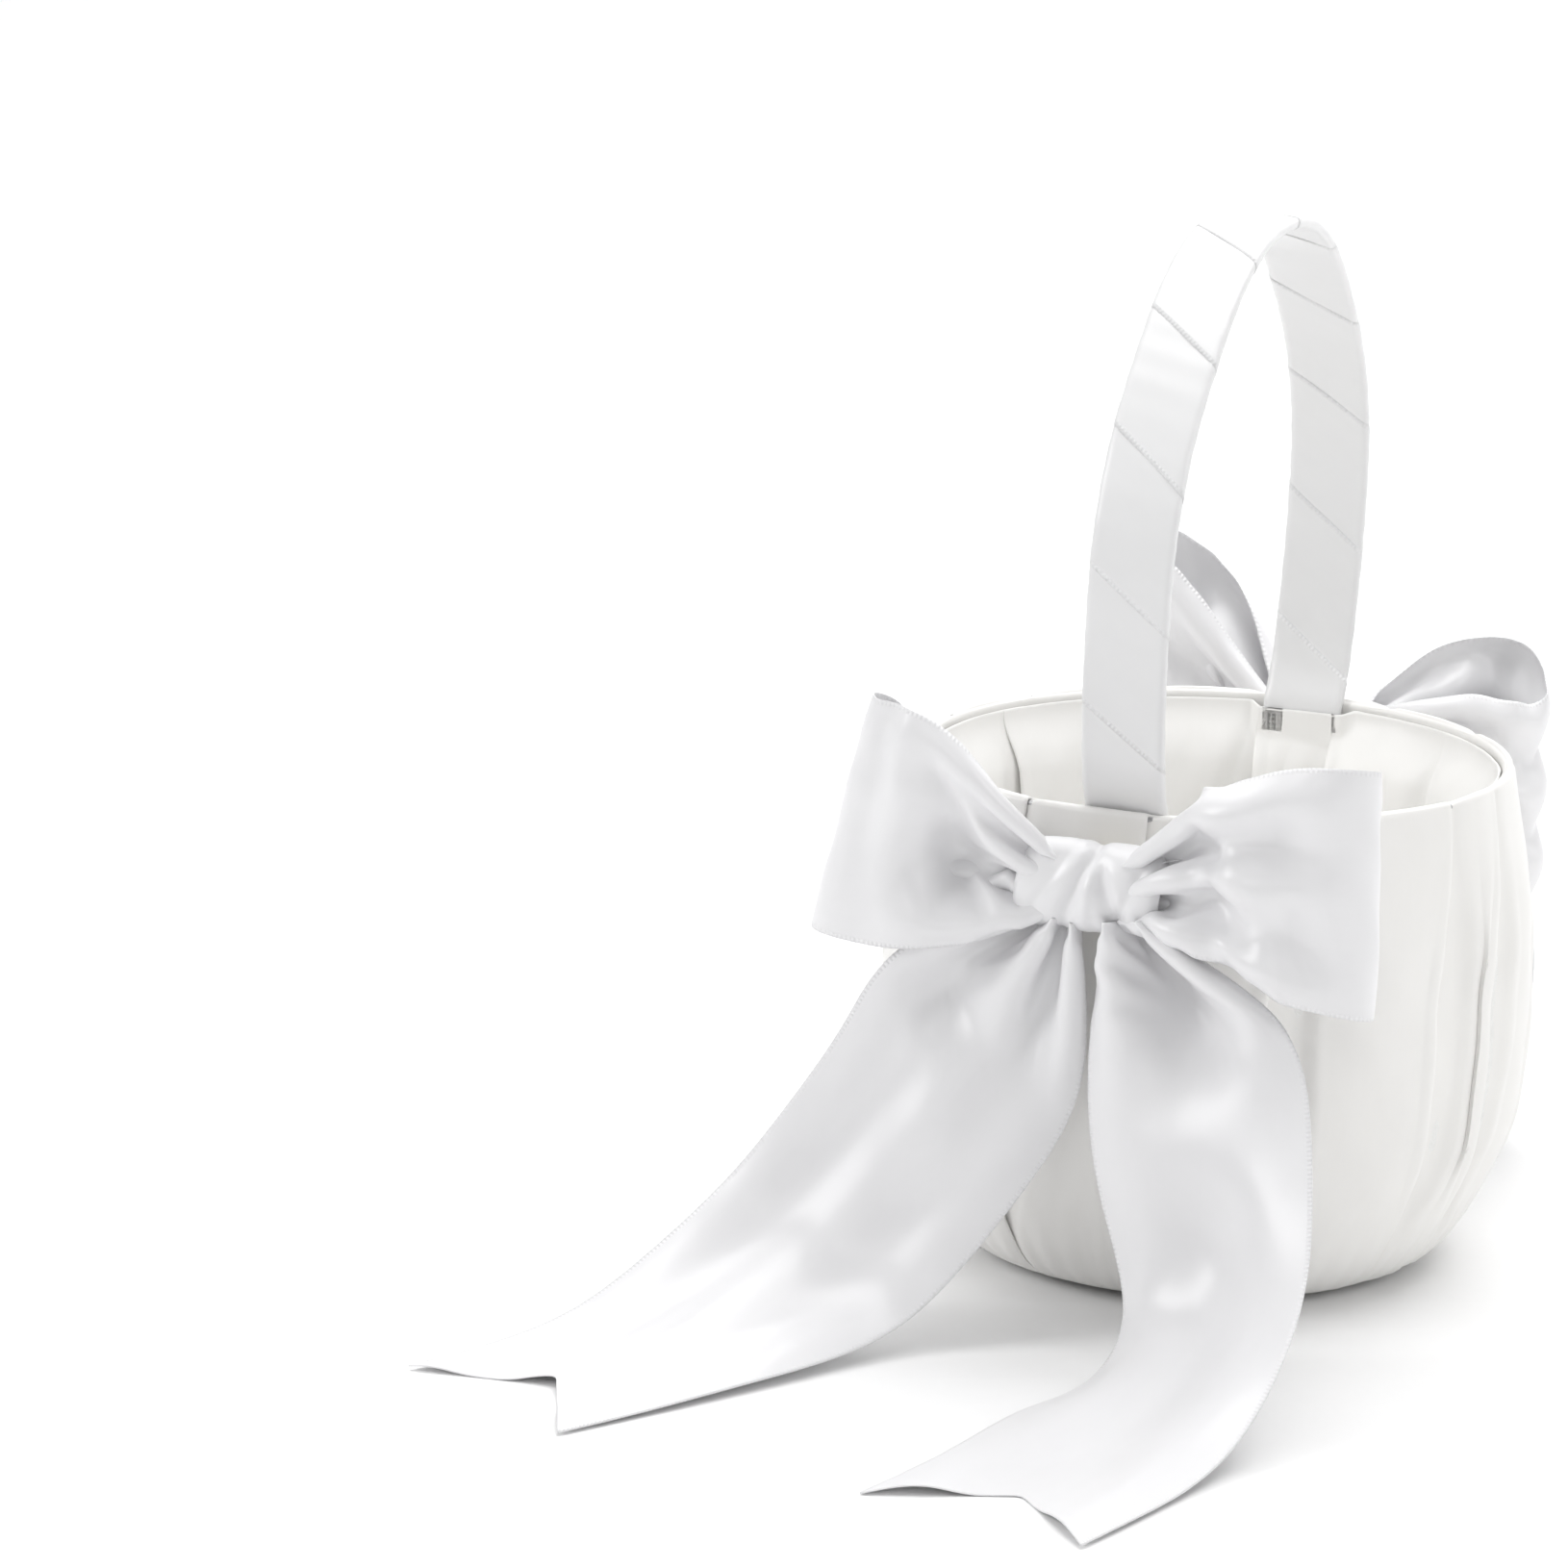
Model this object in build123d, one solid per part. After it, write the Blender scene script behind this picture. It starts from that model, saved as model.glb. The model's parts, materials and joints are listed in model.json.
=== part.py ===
from build123d import *
import math
import os

# Flower girl basket: a satin-covered round basket with a ribbon-wrapped arch
# handle and a ribbon bow at each foot of the handle.
# Millimetres, +Z up, origin at the centre of the underside.  The arch stands
# in the YZ plane, the front bow faces -Y and the rear bow faces +Y.

# ---- bowl -----------------------------------------------------------------
BELLY_Z = 60.0           # height of the widest section
BELLY_R = 67.0
BASE_R = 44.0            # flat part of the base
RIM_R = 63.0
RIM_Z = 106.3            # centre of the rolled rim
FORM_TOP_Z = 105.6

DISC_T = 0.8             # card disc glued under the base
DISC_R = 40.0
COVER_T = 0.5            # satin cover
COVER_HEM_R = 34.0       # the cover's hem reaches in to here under the base
COVER_HEM_Z = 97.0       # and down to here inside the rim
LINING_T = 0.5
LINING_TOP_Z = 98.0

FORM_T = 1.2             # moulded board bowl
FORM_BASE_R = 42.0
FORM_BASE_Z = 3.2
FORM_BELLY_R = 64.2
FORM_RIM_R = 62.4
FORM_IN_BELLY_R = FORM_BELLY_R - FORM_T
FORM_IN_RIM_R = FORM_RIM_R - FORM_T
FORM_IN_BASE_Z = FORM_BASE_Z + FORM_T

LINING_BASE_R = 40.0
LINING_BELLY_R = 57.8
LINING_RIM_R = 57.0

ROLL_R = 1.2             # half the thickness of the rolled rim
WIRE_R = ROLL_R - COVER_T - 0.02
OUTER_WADDING_TOP_Z = 97.0
INNER_WADDING_Z = (12.0, 95.0)

# ---- padded floor ---------------------------------------------------------
FLOOR_CARD_R = 39.5
FLOOR_CARD_T = 1.5
FLOOR_PAD_R = 42.0
FLOOR_PAD_T = 4.0
FLOOR_COVER_T = 0.5

# ---- handle ---------------------------------------------------------------
CORE_W = 16.5            # steel band inside the wrap
CORE_T = 1.6
WRAP_T = 0.5
WRAP_W = CORE_W + 2 * WRAP_T
LEG_GAP = 1.3            # room for the cover's hem and the wall's curve behind the flat leg
LEG_BOTTOM_Z = 54.0
WRAP_BOTTOM_Z = 58.0
ARCH_HALF_SPAN = 66.1    # centre line, at its widest
ARCH_WIDEST_Z = 151.7
ARCH_TOP_Z = 220.5
HANDLE_LEAN = 1.6        # degrees; the arch springs slightly towards +X
LEAN_PIVOT_Z = 74.0
RIVET_Z = (66.0, 82.0)
RIVET_R = 1.5
RIVET_HOLE_R = 1.65
RIVET_HEAD_R = 3.0
RIVET_HEAD_T = 1.0

# ---- bows -----------------------------------------------------------------
RIBBON_W = 50.0
RIBBON_T = 0.8
KNOT_Y = 76.0            # distance of the knot's centre from the Z axis
KNOT_Z = 94.5
KNOT_L = 24.6
KNOT_HALF_Y = 5.5
KNOT_HALF_Z = 8.5
KNOT_ROUND = 2.5
GLUE_R = 6.0
LOOP_STRIP_H = 90.0     # tall enough to be trimmed to any loop's outline
NOTCH_DEPTH = 19.0       # swallowtail cut at a tail's end

# A loop's outline seen from the front, from the top of the knot outwards and
# back: (x, z).
FRONT_LEFT_LOOP = [(-12.4, 103), (-25, 121), (-44, 132), (-53, 108), (-57, 79), (-37, 78), (-12.4, 87)]
FRONT_RIGHT_LOOP = [(12.4, 103), (23, 118), (59, 126), (60, 100), (59, 73), (42, 77), (12.4, 87)]
REAR_LEFT_LOOP = [(-12.4, 103), (-33, 136), (-47, 138), (-55, 112), (-52, 84), (-36, 80), (-12.4, 87)]
REAR_RIGHT_LOOP = [(12.4, 103), (38, 119), (52, 104), (54, 86), (53, 68), (38, 73), (12.4, 87)]

# A tail's course as stations from the knot to its end:
# centre x, y, z, width, heading of the width in plan, tilt of the width.
FRONT_LEFT_TAIL = [
    (-8, -75.5, 84.5, 14, 6, -20),
    (-12, -77, 77.5, 34, 12, -30),
    (-18, -79.5, 68, 49, 13, -34),
    (-27, -83.5, 50.5, 50, 4, -34),
    (-38, -88.5, 32.5, 50, -7, -33),
    (-49, -96.5, 17, 50, -16, -28),
    (-59.5, -112, 9.2, 50, -25, -16),
    (-69.5, -130, 3.8, 50, -28, -5),
    (-80, -149.5, 1.4, 50, -29, -1),
    (-91, -169, 0.6, 50, -30, 0),
]
FRONT_RIGHT_TAIL = [
    (7, -76, 84.5, 14, 0, 8),
    (15, -77.5, 78.5, 32, -2, 11),
    (22, -80, 70.5, 47, -4, 12),
    (27.5, -85, 54.5, 50, -7, 15),
    (32.5, -92, 37, 50, -12, 18),
    (37.5, -101.5, 20.5, 50, -20, 22),
    (37, -117, 9.5, 50, -18, 17),
    (33, -135, 4.2, 50, -14, 5),
    (29, -154.5, 1.4, 50, -12.5, 0),
    (25, -174, 0.7, 50, -12.5, 0),
    (20.5, -193.5, 0.6, 50, -12.5, 0),
]
REAR_RIGHT_TAIL = [
    (7, 76, 84.5, 14, 0, 8),
    (14, 78, 78, 32, 3, 8),
    (19, 81, 69.5, 47, 5, 6),
    (22, 85.5, 54, 50, 8, 3),
    (21, 91.5, 37, 50, 12, 1),
    (16, 100, 21, 50, 18, 0),
    (7, 114, 8.5, 50, 23, 0),
    (-3, 132, 2.6, 50, 26, 0),
    (-13, 151, 0.9, 50, 27, 0),
    (-23.5, 171, 0.6, 50, 27, 0),
]


def cup_face(base_r, base_z, belly_r, rim_r, rim_z):
    """Half section of a filled bowl: flat base, elliptical turn, bowed side."""
    turn = EllipticalCenterArc((base_r, BELLY_Z), belly_r - base_r, BELLY_Z - base_z, start_angle=-90, arc_size=90)
    side = TangentArc((belly_r, BELLY_Z), (rim_r, rim_z), tangent=(0, 1))
    base = Line((0, base_z), (base_r, base_z))
    top = Line((rim_r, rim_z), (0, rim_z))
    axis = Line((0, rim_z), (0, base_z))
    return make_face([base, turn, side, top, axis])


def height_band(low, high):
    """A flat rectangle that keeps only the heights between low and high."""
    return Pos(BELLY_R, (low + high) / 2) * Rectangle(2 * BELLY_R, high - low)


def turned(face):
    """Revolve a half section about the Z axis."""
    return revolve(Plane.XZ * face, axis=Axis.Z)


def cover_in_face():
    return cup_face(BASE_R, DISC_T + COVER_T, BELLY_R - COVER_T, RIM_R - COVER_T, RIM_Z)


def form_out_face():
    return cup_face(FORM_BASE_R, FORM_BASE_Z, FORM_BELLY_R, FORM_RIM_R, FORM_TOP_Z)


def form_in_face():
    return cup_face(FORM_BASE_R, FORM_IN_BASE_Z, FORM_IN_BELLY_R, FORM_IN_RIM_R, FORM_TOP_Z)


def lining_out_face():
    return cup_face(LINING_BASE_R, FORM_IN_BASE_Z, LINING_BELLY_R, LINING_RIM_R, LINING_TOP_Z)


def cover_line(inset):
    """The cover's run from its hem under the base, up the side, over the rim."""
    base_z = DISC_T + inset
    roll_x = RIM_R - ROLL_R
    hem_top = (RIM_R - 2 * ROLL_R + inset, RIM_Z)
    hem_foot = (hem_top[0] + ROLL_R / 2, COVER_HEM_Z)
    side = TangentArc((BELLY_R - inset, BELLY_Z), (RIM_R - inset, RIM_Z), tangent=(0, 1))
    return [
        Line((COVER_HEM_R, base_z), (BASE_R, base_z)),
        EllipticalCenterArc((BASE_R, BELLY_Z), BELLY_R - inset - BASE_R, BELLY_Z - base_z, start_angle=-90, arc_size=90),
        side,
        CenterArc((roll_x, RIM_Z), ROLL_R - inset, 0, 180),
        Line(hem_top, hem_foot),
    ]


def outer_cover():
    outside = cover_line(0)
    inside = cover_line(COVER_T)
    hem_edge = Line(outside[0] @ 0, inside[0] @ 0)
    rim_edge = Line(outside[-1] @ 1, inside[-1] @ 1)
    return turned(make_face(outside + inside + [hem_edge, rim_edge]))


def rim_wire():
    return Pos(0, 0, RIM_Z) * Torus(RIM_R - ROLL_R, WIRE_R)


def handle_path():
    """Centre line of the band: up inside the wall, over the arch and down."""
    leg_y = FORM_IN_BELLY_R - LEG_GAP - CORE_T / 2 - WRAP_T
    rim_y = leg_y - (FORM_IN_BELLY_R - FORM_IN_RIM_R)
    rim = (rim_y, RIM_Z - 1)
    widest = (ARCH_HALF_SPAN, ARCH_WIDEST_Z)
    foot = Line((leg_y, LEG_BOTTOM_Z), (leg_y, BELLY_Z))
    leg = TangentArc((leg_y, BELLY_Z), rim, tangent=(0, 1))
    spring = Spline([rim, (59.9, 109.2), (62.6, 116.5), (65.0, 131), widest], tangents=[leg % 1, (0, 1)])
    shoulder = Spline([widest, (45.1, 198.7), (0, ARCH_TOP_Z)], tangents=[(0, 1), (-1, 0)])
    half = [Plane.YZ * edge for edge in (foot, leg, spring, shoulder)]
    other = [mirror(edge, about=Plane.XZ) for edge in half]
    return Wire([part.edge() for part in half + other])


def band(width, thickness):
    """A flat band swept along the handle's centre line."""
    path = handle_path()
    start = Plane(origin=path @ 0, x_dir=(1, 0, 0), z_dir=path % 0)
    return sweep(start * Rectangle(width, thickness), path=path)


def leaned(shape):
    """Turn a handle part about the lean's pivot."""
    pivot = Pos(0, 0, LEAN_PIVOT_Z)
    return pivot * Rot(0, HANDLE_LEAN, 0) * pivot.inverse() * shape


def rivet_rods(radius, inner_y, outer_y, side):
    """Round rods along Y through the leg on one side, one at each rivet."""
    middle = side * (inner_y + outer_y) / 2
    rods = [Pos(0, middle, z) * Rot(90, 0, 0) * Cylinder(radius, outer_y - inner_y) for z in RIVET_Z]
    return leaned(Compound(children=rods))


def handle_rivets(side, form, leg):
    """Two rivets that hold a leg to the form, their heads following the faces.

    The form and leg given here have no rivet holes yet.
    """
    leg_face = FORM_IN_BELLY_R - LEG_GAP - CORE_T - 2 * WRAP_T
    head_face = leg_face - RIVET_HEAD_T
    shanks = rivet_rods(RIVET_R, head_face, FORM_BELLY_R + RIVET_HEAD_T / 2, side)
    inner_heads = rivet_rods(RIVET_HEAD_R, head_face, leg_face + RIVET_HEAD_T, side) - leg
    outer_heads = rivet_rods(RIVET_HEAD_R, FORM_IN_BELLY_R, FORM_BELLY_R + RIVET_HEAD_T, side) - form
    solids = []
    for z in RIVET_Z:
        zone = Pos(0, side * BELLY_R, z) * Box(4 * RIVET_HEAD_R, BELLY_R, 3 * RIVET_HEAD_R)
        rivet = (shanks & zone) + (inner_heads & zone) + (outer_heads & zone)
        solids.append(max(rivet.solids(), key=lambda solid: solid.volume))
    return Compound(children=solids)


def tail_plane(station, ahead):
    """Section plane of a tail: X along the ribbon's width, Z along its run."""
    x, y, z, width, heading, tilt = station
    turn = math.radians(heading)
    rise = math.radians(tilt)
    across = Vector(math.cos(turn) * math.cos(rise), math.sin(turn) * math.cos(rise), math.sin(rise))
    run = ahead - across * ahead.dot(across)
    return Plane(origin=(x, y, z), x_dir=across, z_dir=run)


def tail(stations):
    """A ribbon tail lofted through its stations, with a swallowtail end."""
    centres = [Vector(*station[:3]) for station in stations]
    sections = []
    for index, station in enumerate(stations):
        ahead = centres[min(index + 1, len(centres) - 1)] - centres[max(index - 1, 0)]
        plane = tail_plane(station, ahead)
        sections.append(plane * Rectangle(station[3], RIBBON_T))
    ribbon = loft(sections, ruled=True)
    end = centres[-1]
    run = math.degrees(math.atan2(end.Y - centres[-2].Y, end.X - centres[-2].X))
    notch = make_face(Polyline((1, -RIBBON_W / 2), (-NOTCH_DEPTH, 0), (1, RIBBON_W / 2), close=True))
    wedge = extrude(notch, amount=10, both=True)
    return ribbon - Pos(end.X, end.Y, 0) * Rot(0, 0, run) * wedge


def loop(outline):
    """A bow loop: ribbon bent out and back, trimmed to the outline seen from the front."""
    side = math.copysign(1, outline[0][0])
    start = abs(outline[0][0])
    reach = max(abs(x) for x, z in outline) - RIBBON_T
    belly = start + 0.45 * (reach - start)
    heights = [z for x, z in outline]
    middle_z = (min(heights) + max(heights)) / 2
    course = [
        (start, 78.0),
        (belly, 87.5),
        (reach - 6, 85.0),
        (reach, 79.0),
        (reach - 6, 72.5),
        (belly, 71.2),
        (start, 73.8),
    ]
    path = Spline([(side * x, -y, middle_z) for x, y in course])
    section = Plane(origin=path @ 0, x_dir=(0, 0, 1), z_dir=path % 0)
    ribbon = sweep(section * Rectangle(LOOP_STRIP_H, RIBBON_T), path=path)
    silhouette = make_face(Plane.XZ * Polyline(*outline, close=True))
    window = extrude(silhouette, amount=100, dir=(0, -1, 0))
    return ribbon & window


def knot():
    section = Plane.YZ * Ellipse(KNOT_HALF_Y, KNOT_HALF_Z)
    barrel = extrude(section, amount=KNOT_L / 2, both=True)
    barrel = fillet(barrel.edges(), KNOT_ROUND)
    return Pos(0, -KNOT_Y, KNOT_Z) * barrel


def glue_pad(cover):
    """Glue between the cover and the back of a knot."""
    inner = BELLY_R - 5
    length = KNOT_Y - inner
    rod = Pos(0, -(inner + length / 2), KNOT_Z) * Rot(90, 0, 0) * Cylinder(GLUE_R, length)
    pad = rod - cover - knot()
    return min(pad.solids(), key=lambda solid: abs(abs(solid.center().Y) - BELLY_R))


def mirrored_tail(stations):
    """The same course on the other side of the XZ plane."""
    return [(x, -y, z, width, -heading, tilt) for x, y, z, width, heading, tilt in stations]


def floor_cover():
    """Satin cap over the floor pad."""
    low = FORM_IN_BASE_Z + LINING_T + FLOOR_CARD_T
    outer_r = FLOOR_PAD_R + FLOOR_COVER_T
    height = FLOOR_PAD_T + FLOOR_COVER_T
    cap = Pos(0, 0, low + height / 2) * Cylinder(outer_r, height)
    cap = fillet(cap.edges().group_by(Axis.Z)[-1], 2.0)
    return cap - floor_padding()


def floor_padding():
    low = FORM_IN_BASE_Z + LINING_T + FLOOR_CARD_T
    pad = Pos(0, 0, low + FLOOR_PAD_T / 2) * Cylinder(FLOOR_PAD_R, FLOOR_PAD_T)
    return fillet(pad.edges().group_by(Axis.Z)[-1], 1.5)


def build_nodes():
    cover = outer_cover()
    form = turned(form_out_face() - form_in_face())
    outer_wadding = turned((cover_in_face() - form_out_face()) & height_band(DISC_T + COVER_T, OUTER_WADDING_TOP_Z))
    inner_wadding = turned((form_in_face() - lining_out_face()) & height_band(*INNER_WADDING_Z))
    lining_in = cup_face(
        LINING_BASE_R, FORM_IN_BASE_Z + LINING_T, LINING_BELLY_R - LINING_T, LINING_RIM_R - LINING_T, LINING_TOP_Z
    )
    lining = turned(lining_out_face() - lining_in)

    core = leaned(band(CORE_W, CORE_T))
    wrapped_band = leaned(band(WRAP_W, CORE_T + 2 * WRAP_T))
    above_ground = Pos(0, 0, WRAP_BOTTOM_Z + 100) * Box(100, 200, 200)
    wrap = (wrapped_band - core) & above_ground

    leg_block = core + wrap
    rivets = {side: handle_rivets(side, form, leg_block) for side in (-1, 1)}
    channel_low = LEG_BOTTOM_Z - 3
    channel_high = INNER_WADDING_Z[1] + 1
    channel = Box(WRAP_W + 3, 2 * (FORM_BELLY_R - LINING_BELLY_R), channel_high - channel_low)
    for side in (-1, 1):
        holes = rivet_rods(RIVET_HOLE_R, LINING_RIM_R, BELLY_R, side)
        head_room = rivet_rods(RIVET_HEAD_R + 0.3, FORM_IN_BELLY_R, BELLY_R, side)
        inner_wadding = inner_wadding - Pos(0, side * LINING_BELLY_R, (channel_low + channel_high) / 2) * channel
        outer_wadding = outer_wadding - head_room
        form = form - holes
        core = core - holes
        wrap = wrap - holes

    nodes = {
        "basket_form": form,
        "rim_wire": rim_wire(),
        "outer_wadding": outer_wadding,
        "inner_wadding": inner_wadding,
        "outer_cover": cover,
        "inner_lining": lining,
        "underside_disc": Pos(0, 0, DISC_T / 2) * Cylinder(DISC_R, DISC_T),
        "floor_card": Pos(0, 0, FORM_IN_BASE_Z + LINING_T + FLOOR_CARD_T / 2) * Cylinder(FLOOR_CARD_R, FLOOR_CARD_T),
        "floor_padding": floor_padding(),
        "floor_cover": floor_cover(),
        "handle_core": core,
        "handle_ribbon_wrap": wrap,
        "front_handle_rivets": rivets[-1],
        "rear_handle_rivets": rivets[1],
        "front_bow_knot": knot(),
        "front_bow_glue_pad": glue_pad(cover),
        "front_bow_left_loop": loop(FRONT_LEFT_LOOP),
        "front_bow_right_loop": loop(FRONT_RIGHT_LOOP),
        "front_bow_left_tail": tail(FRONT_LEFT_TAIL),
        "front_bow_right_tail": tail(FRONT_RIGHT_TAIL),
        "rear_bow_knot": mirror(knot(), about=Plane.XZ),
        "rear_bow_glue_pad": mirror(glue_pad(cover), about=Plane.XZ),
        "rear_bow_left_loop": mirror(loop(REAR_LEFT_LOOP), about=Plane.XZ),
        "rear_bow_right_loop": mirror(loop(REAR_RIGHT_LOOP), about=Plane.XZ),
        "rear_bow_left_tail": tail(mirrored_tail(FRONT_LEFT_TAIL)),
        "rear_bow_right_tail": tail(REAR_RIGHT_TAIL),
    }
    return nodes


os.makedirs("parts", exist_ok=True)
for name, shape in build_nodes().items():
    export_step(shape, f"parts/{name}.step")
    box = shape.bounding_box()
    print(f"{name:24s} solids {len(shape.solids())} volume {shape.volume:10.1f} low z {box.min.Z:7.2f}")
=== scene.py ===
import json
import math

import bpy
import numpy as np
from mathutils import Matrix, Vector

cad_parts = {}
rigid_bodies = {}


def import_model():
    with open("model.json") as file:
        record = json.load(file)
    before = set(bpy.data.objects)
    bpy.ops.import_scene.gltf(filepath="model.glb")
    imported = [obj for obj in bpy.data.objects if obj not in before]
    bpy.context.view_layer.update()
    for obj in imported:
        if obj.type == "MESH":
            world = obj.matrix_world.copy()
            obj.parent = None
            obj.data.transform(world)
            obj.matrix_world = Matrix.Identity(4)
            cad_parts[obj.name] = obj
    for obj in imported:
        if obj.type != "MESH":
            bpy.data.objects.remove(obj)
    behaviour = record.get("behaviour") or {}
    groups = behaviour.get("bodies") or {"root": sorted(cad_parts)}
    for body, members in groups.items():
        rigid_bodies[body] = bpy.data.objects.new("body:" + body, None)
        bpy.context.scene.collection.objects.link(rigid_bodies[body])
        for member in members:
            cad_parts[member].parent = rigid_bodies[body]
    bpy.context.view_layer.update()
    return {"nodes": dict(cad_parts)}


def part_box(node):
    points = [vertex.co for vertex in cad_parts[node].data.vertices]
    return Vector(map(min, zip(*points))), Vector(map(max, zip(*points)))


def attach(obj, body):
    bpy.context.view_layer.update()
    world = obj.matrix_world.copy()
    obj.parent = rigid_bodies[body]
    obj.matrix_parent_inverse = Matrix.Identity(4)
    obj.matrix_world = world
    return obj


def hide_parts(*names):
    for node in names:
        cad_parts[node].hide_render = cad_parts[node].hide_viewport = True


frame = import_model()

# A satin-covered flower girl basket: pleated cover and lining, ribbon-wound
# arch handle and two tied ribbon bows.  Shapes are worked out in millimetres
# in the frame's own axes, and meshes are written in metres.
MM = 0.001


def node_box(name):
    """A CAD node's lowest and highest corners, in millimetres."""
    low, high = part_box(name)
    return np.array(low) / MM, np.array(high) / MM


# ---- sizes read from the frame ----
COVER_T = 0.5
BELLY_R = node_box("outer_cover")[1][0]
RIM_TOP = node_box("outer_cover")[1][2]
RIM_R = node_box("rim_wire")[1][0] + COVER_T
ROLL_R = 1.2
RIM_Z = RIM_TOP - ROLL_R
BELLY_Z = 60.0
DISC_T = node_box("underside_disc")[1][2]
DISC_R = node_box("underside_disc")[1][0]
BASE_R = DISC_R + 4.0
LINING_R = node_box("inner_lining")[1][0]
FLOOR_TOP = node_box("floor_cover")[1][2]
FLOOR_R = node_box("floor_cover")[1][0]
FORM_R = node_box("basket_form")[1][0]
RIBBON_W = 51.0
RIBBON_T = 0.28
CELL = 1.25  # cloth cell of a ribbon
RIBBON_COLS = int(round(RIBBON_W / CELL)) + 1
UV_PER_MM = 0.01  # a UV unit is 100 mm of cloth


# ---- small maths ----
def smooth(x, low, high):
    """0 below low, 1 above high, an S between."""
    t = np.clip((np.asarray(x, float) - low) / (high - low), 0.0, 1.0)
    return t * t * (3 - 2 * t)


def bump(x, centre, width):
    """A round hump of height 1."""
    return np.exp(-(((np.asarray(x, float) - centre) / width) ** 2))


def natural_curve(knots, values, at):
    """Values of a smooth curve (natural cubic spline) through the knots."""
    knots = np.asarray(knots, float)
    values = np.asarray(values, float)
    if values.ndim == 1:
        return natural_curve(knots, values[:, None], at)[:, 0]
    count = len(knots)
    gap = np.diff(knots)
    system = np.eye(count)
    right = np.zeros_like(values)
    for i in range(1, count - 1):
        system[i, i - 1:i + 2] = gap[i - 1], 2 * (gap[i - 1] + gap[i]), gap[i]
        rise, before = values[i + 1] - values[i], values[i] - values[i - 1]
        right[i] = 6 * (rise / gap[i] - before / gap[i - 1])
    curve = np.linalg.solve(system, right)
    at = np.clip(np.asarray(at, float), knots[0], knots[-1])
    i = np.clip(np.searchsorted(knots, at, side="right") - 1, 0, count - 2)
    h = gap[i][:, None]
    a = (knots[i + 1] - at)[:, None] / h
    b = 1 - a
    return (
        a * values[i] + b * values[i + 1]
        + ((a ** 3 - a) * curve[i] + (b ** 3 - b) * curve[i + 1]) * h ** 2 / 6
    )


def unit(vectors):
    """Vectors scaled to length 1."""
    return vectors / np.maximum(np.linalg.norm(vectors, axis=-1, keepdims=True), 1e-9)


def running_length(points):
    """Distance along a line of points, at each of them."""
    return np.concatenate([[0], np.cumsum(np.linalg.norm(np.diff(points, axis=0), axis=1))])


def cover_radius(z):
    """Outer radius of the covered bowl at a height."""
    z = np.asarray(z, float)
    drop = BELLY_R - RIM_R
    span = RIM_Z - BELLY_Z
    arc = (span ** 2 + drop ** 2) / (2 * drop)
    upper = BELLY_R - arc + np.sqrt(np.maximum(arc ** 2 - (z - BELLY_Z) ** 2, 0))
    turn = np.clip((BELLY_Z - z) / (BELLY_Z - DISC_T), 0, 1)
    lower = BASE_R + (BELLY_R - BASE_R) * np.sqrt(1 - turn ** 2)
    return np.where(z > BELLY_Z, upper, lower)


# ---- meshes ----
def grid_mesh(name, points, uv, close_u=False, close_v=False):
    """A mesh object over a grid of points (rows, columns, xyz), with a UV map of the flat cloth."""
    rows, cols = points.shape[:2]
    index = np.arange(rows * cols).reshape(rows, cols)
    row_end = rows if close_u else rows - 1
    col_end = cols if close_v else cols - 1
    i, j = np.meshgrid(np.arange(row_end), np.arange(col_end), indexing="ij")
    i, j = i.ravel(), j.ravel()
    i2, j2 = (i + 1) % rows, (j + 1) % cols
    quads = np.stack([index[i, j], index[i2, j], index[i2, j2], index[i, j2]], axis=1)
    mesh = bpy.data.meshes.new(name)
    mesh.from_pydata((points.reshape(-1, 3) * MM).tolist(), [], quads.tolist())
    layer = mesh.uv_layers.new(name="cloth")
    corner_rows = np.stack([i, i + 1, i + 1, i], axis=1).ravel()
    corner_cols = np.stack([j, j, j + 1, j + 1], axis=1).ravel()
    row, col = np.minimum(corner_rows, rows - 1), np.minimum(corner_cols, cols - 1)
    past_row, past_col = (corner_rows >= rows)[:, None], (corner_cols >= cols)[:, None]
    corner_uv = uv[row, col] + past_col * (uv[row, -1] - uv[row, -2])
    corner_uv = corner_uv + past_row * (uv[-1, col] - uv[-2, col])
    layer.data.foreach_set("uv", (corner_uv * UV_PER_MM).ravel())
    mesh.polygons.foreach_set("use_smooth", [True] * len(mesh.polygons))
    mesh.update()
    obj = bpy.data.objects.new(name, mesh)
    bpy.context.collection.objects.link(obj)
    return obj


def flat_uv(rows, cols, length, width):
    """Cloth coordinates in millimetres for an even grid."""
    u, v = np.meshgrid(np.linspace(0, length, rows), np.linspace(0, width, cols), indexing="ij")
    return np.stack([u, v], axis=-1)


def pleated_uv(points, heights, run):
    """Cloth coordinates of a pleated ring, and the length of its cloth round the belly."""
    belly = int(np.argmin(np.abs(heights - BELLY_Z)))
    ring = np.linalg.norm(np.diff(points[belly], axis=0, append=points[belly][:1]), axis=1)
    around = np.concatenate([[0], np.cumsum(ring)[:-1]])
    uv = np.stack(np.broadcast_arrays(run[:, None], around[None, :]), axis=-1).astype(float)
    return uv, ring.sum()


def finish_cloth(obj, thickness, level=1):
    """Subdivide and thicken a cloth surface, half of the thickness to each side."""
    if level:
        rounder = obj.modifiers.new("rounder", "SUBSURF")
        rounder.levels = level
        rounder.render_levels = level
    shell = obj.modifiers.new("thickness", "SOLIDIFY")
    shell.thickness = thickness * MM
    shell.offset = 0.0


# ---- cloth relaxation ----
STRETCH, SHEAR, BEND = 1.0, 0.6, 0.5
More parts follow.
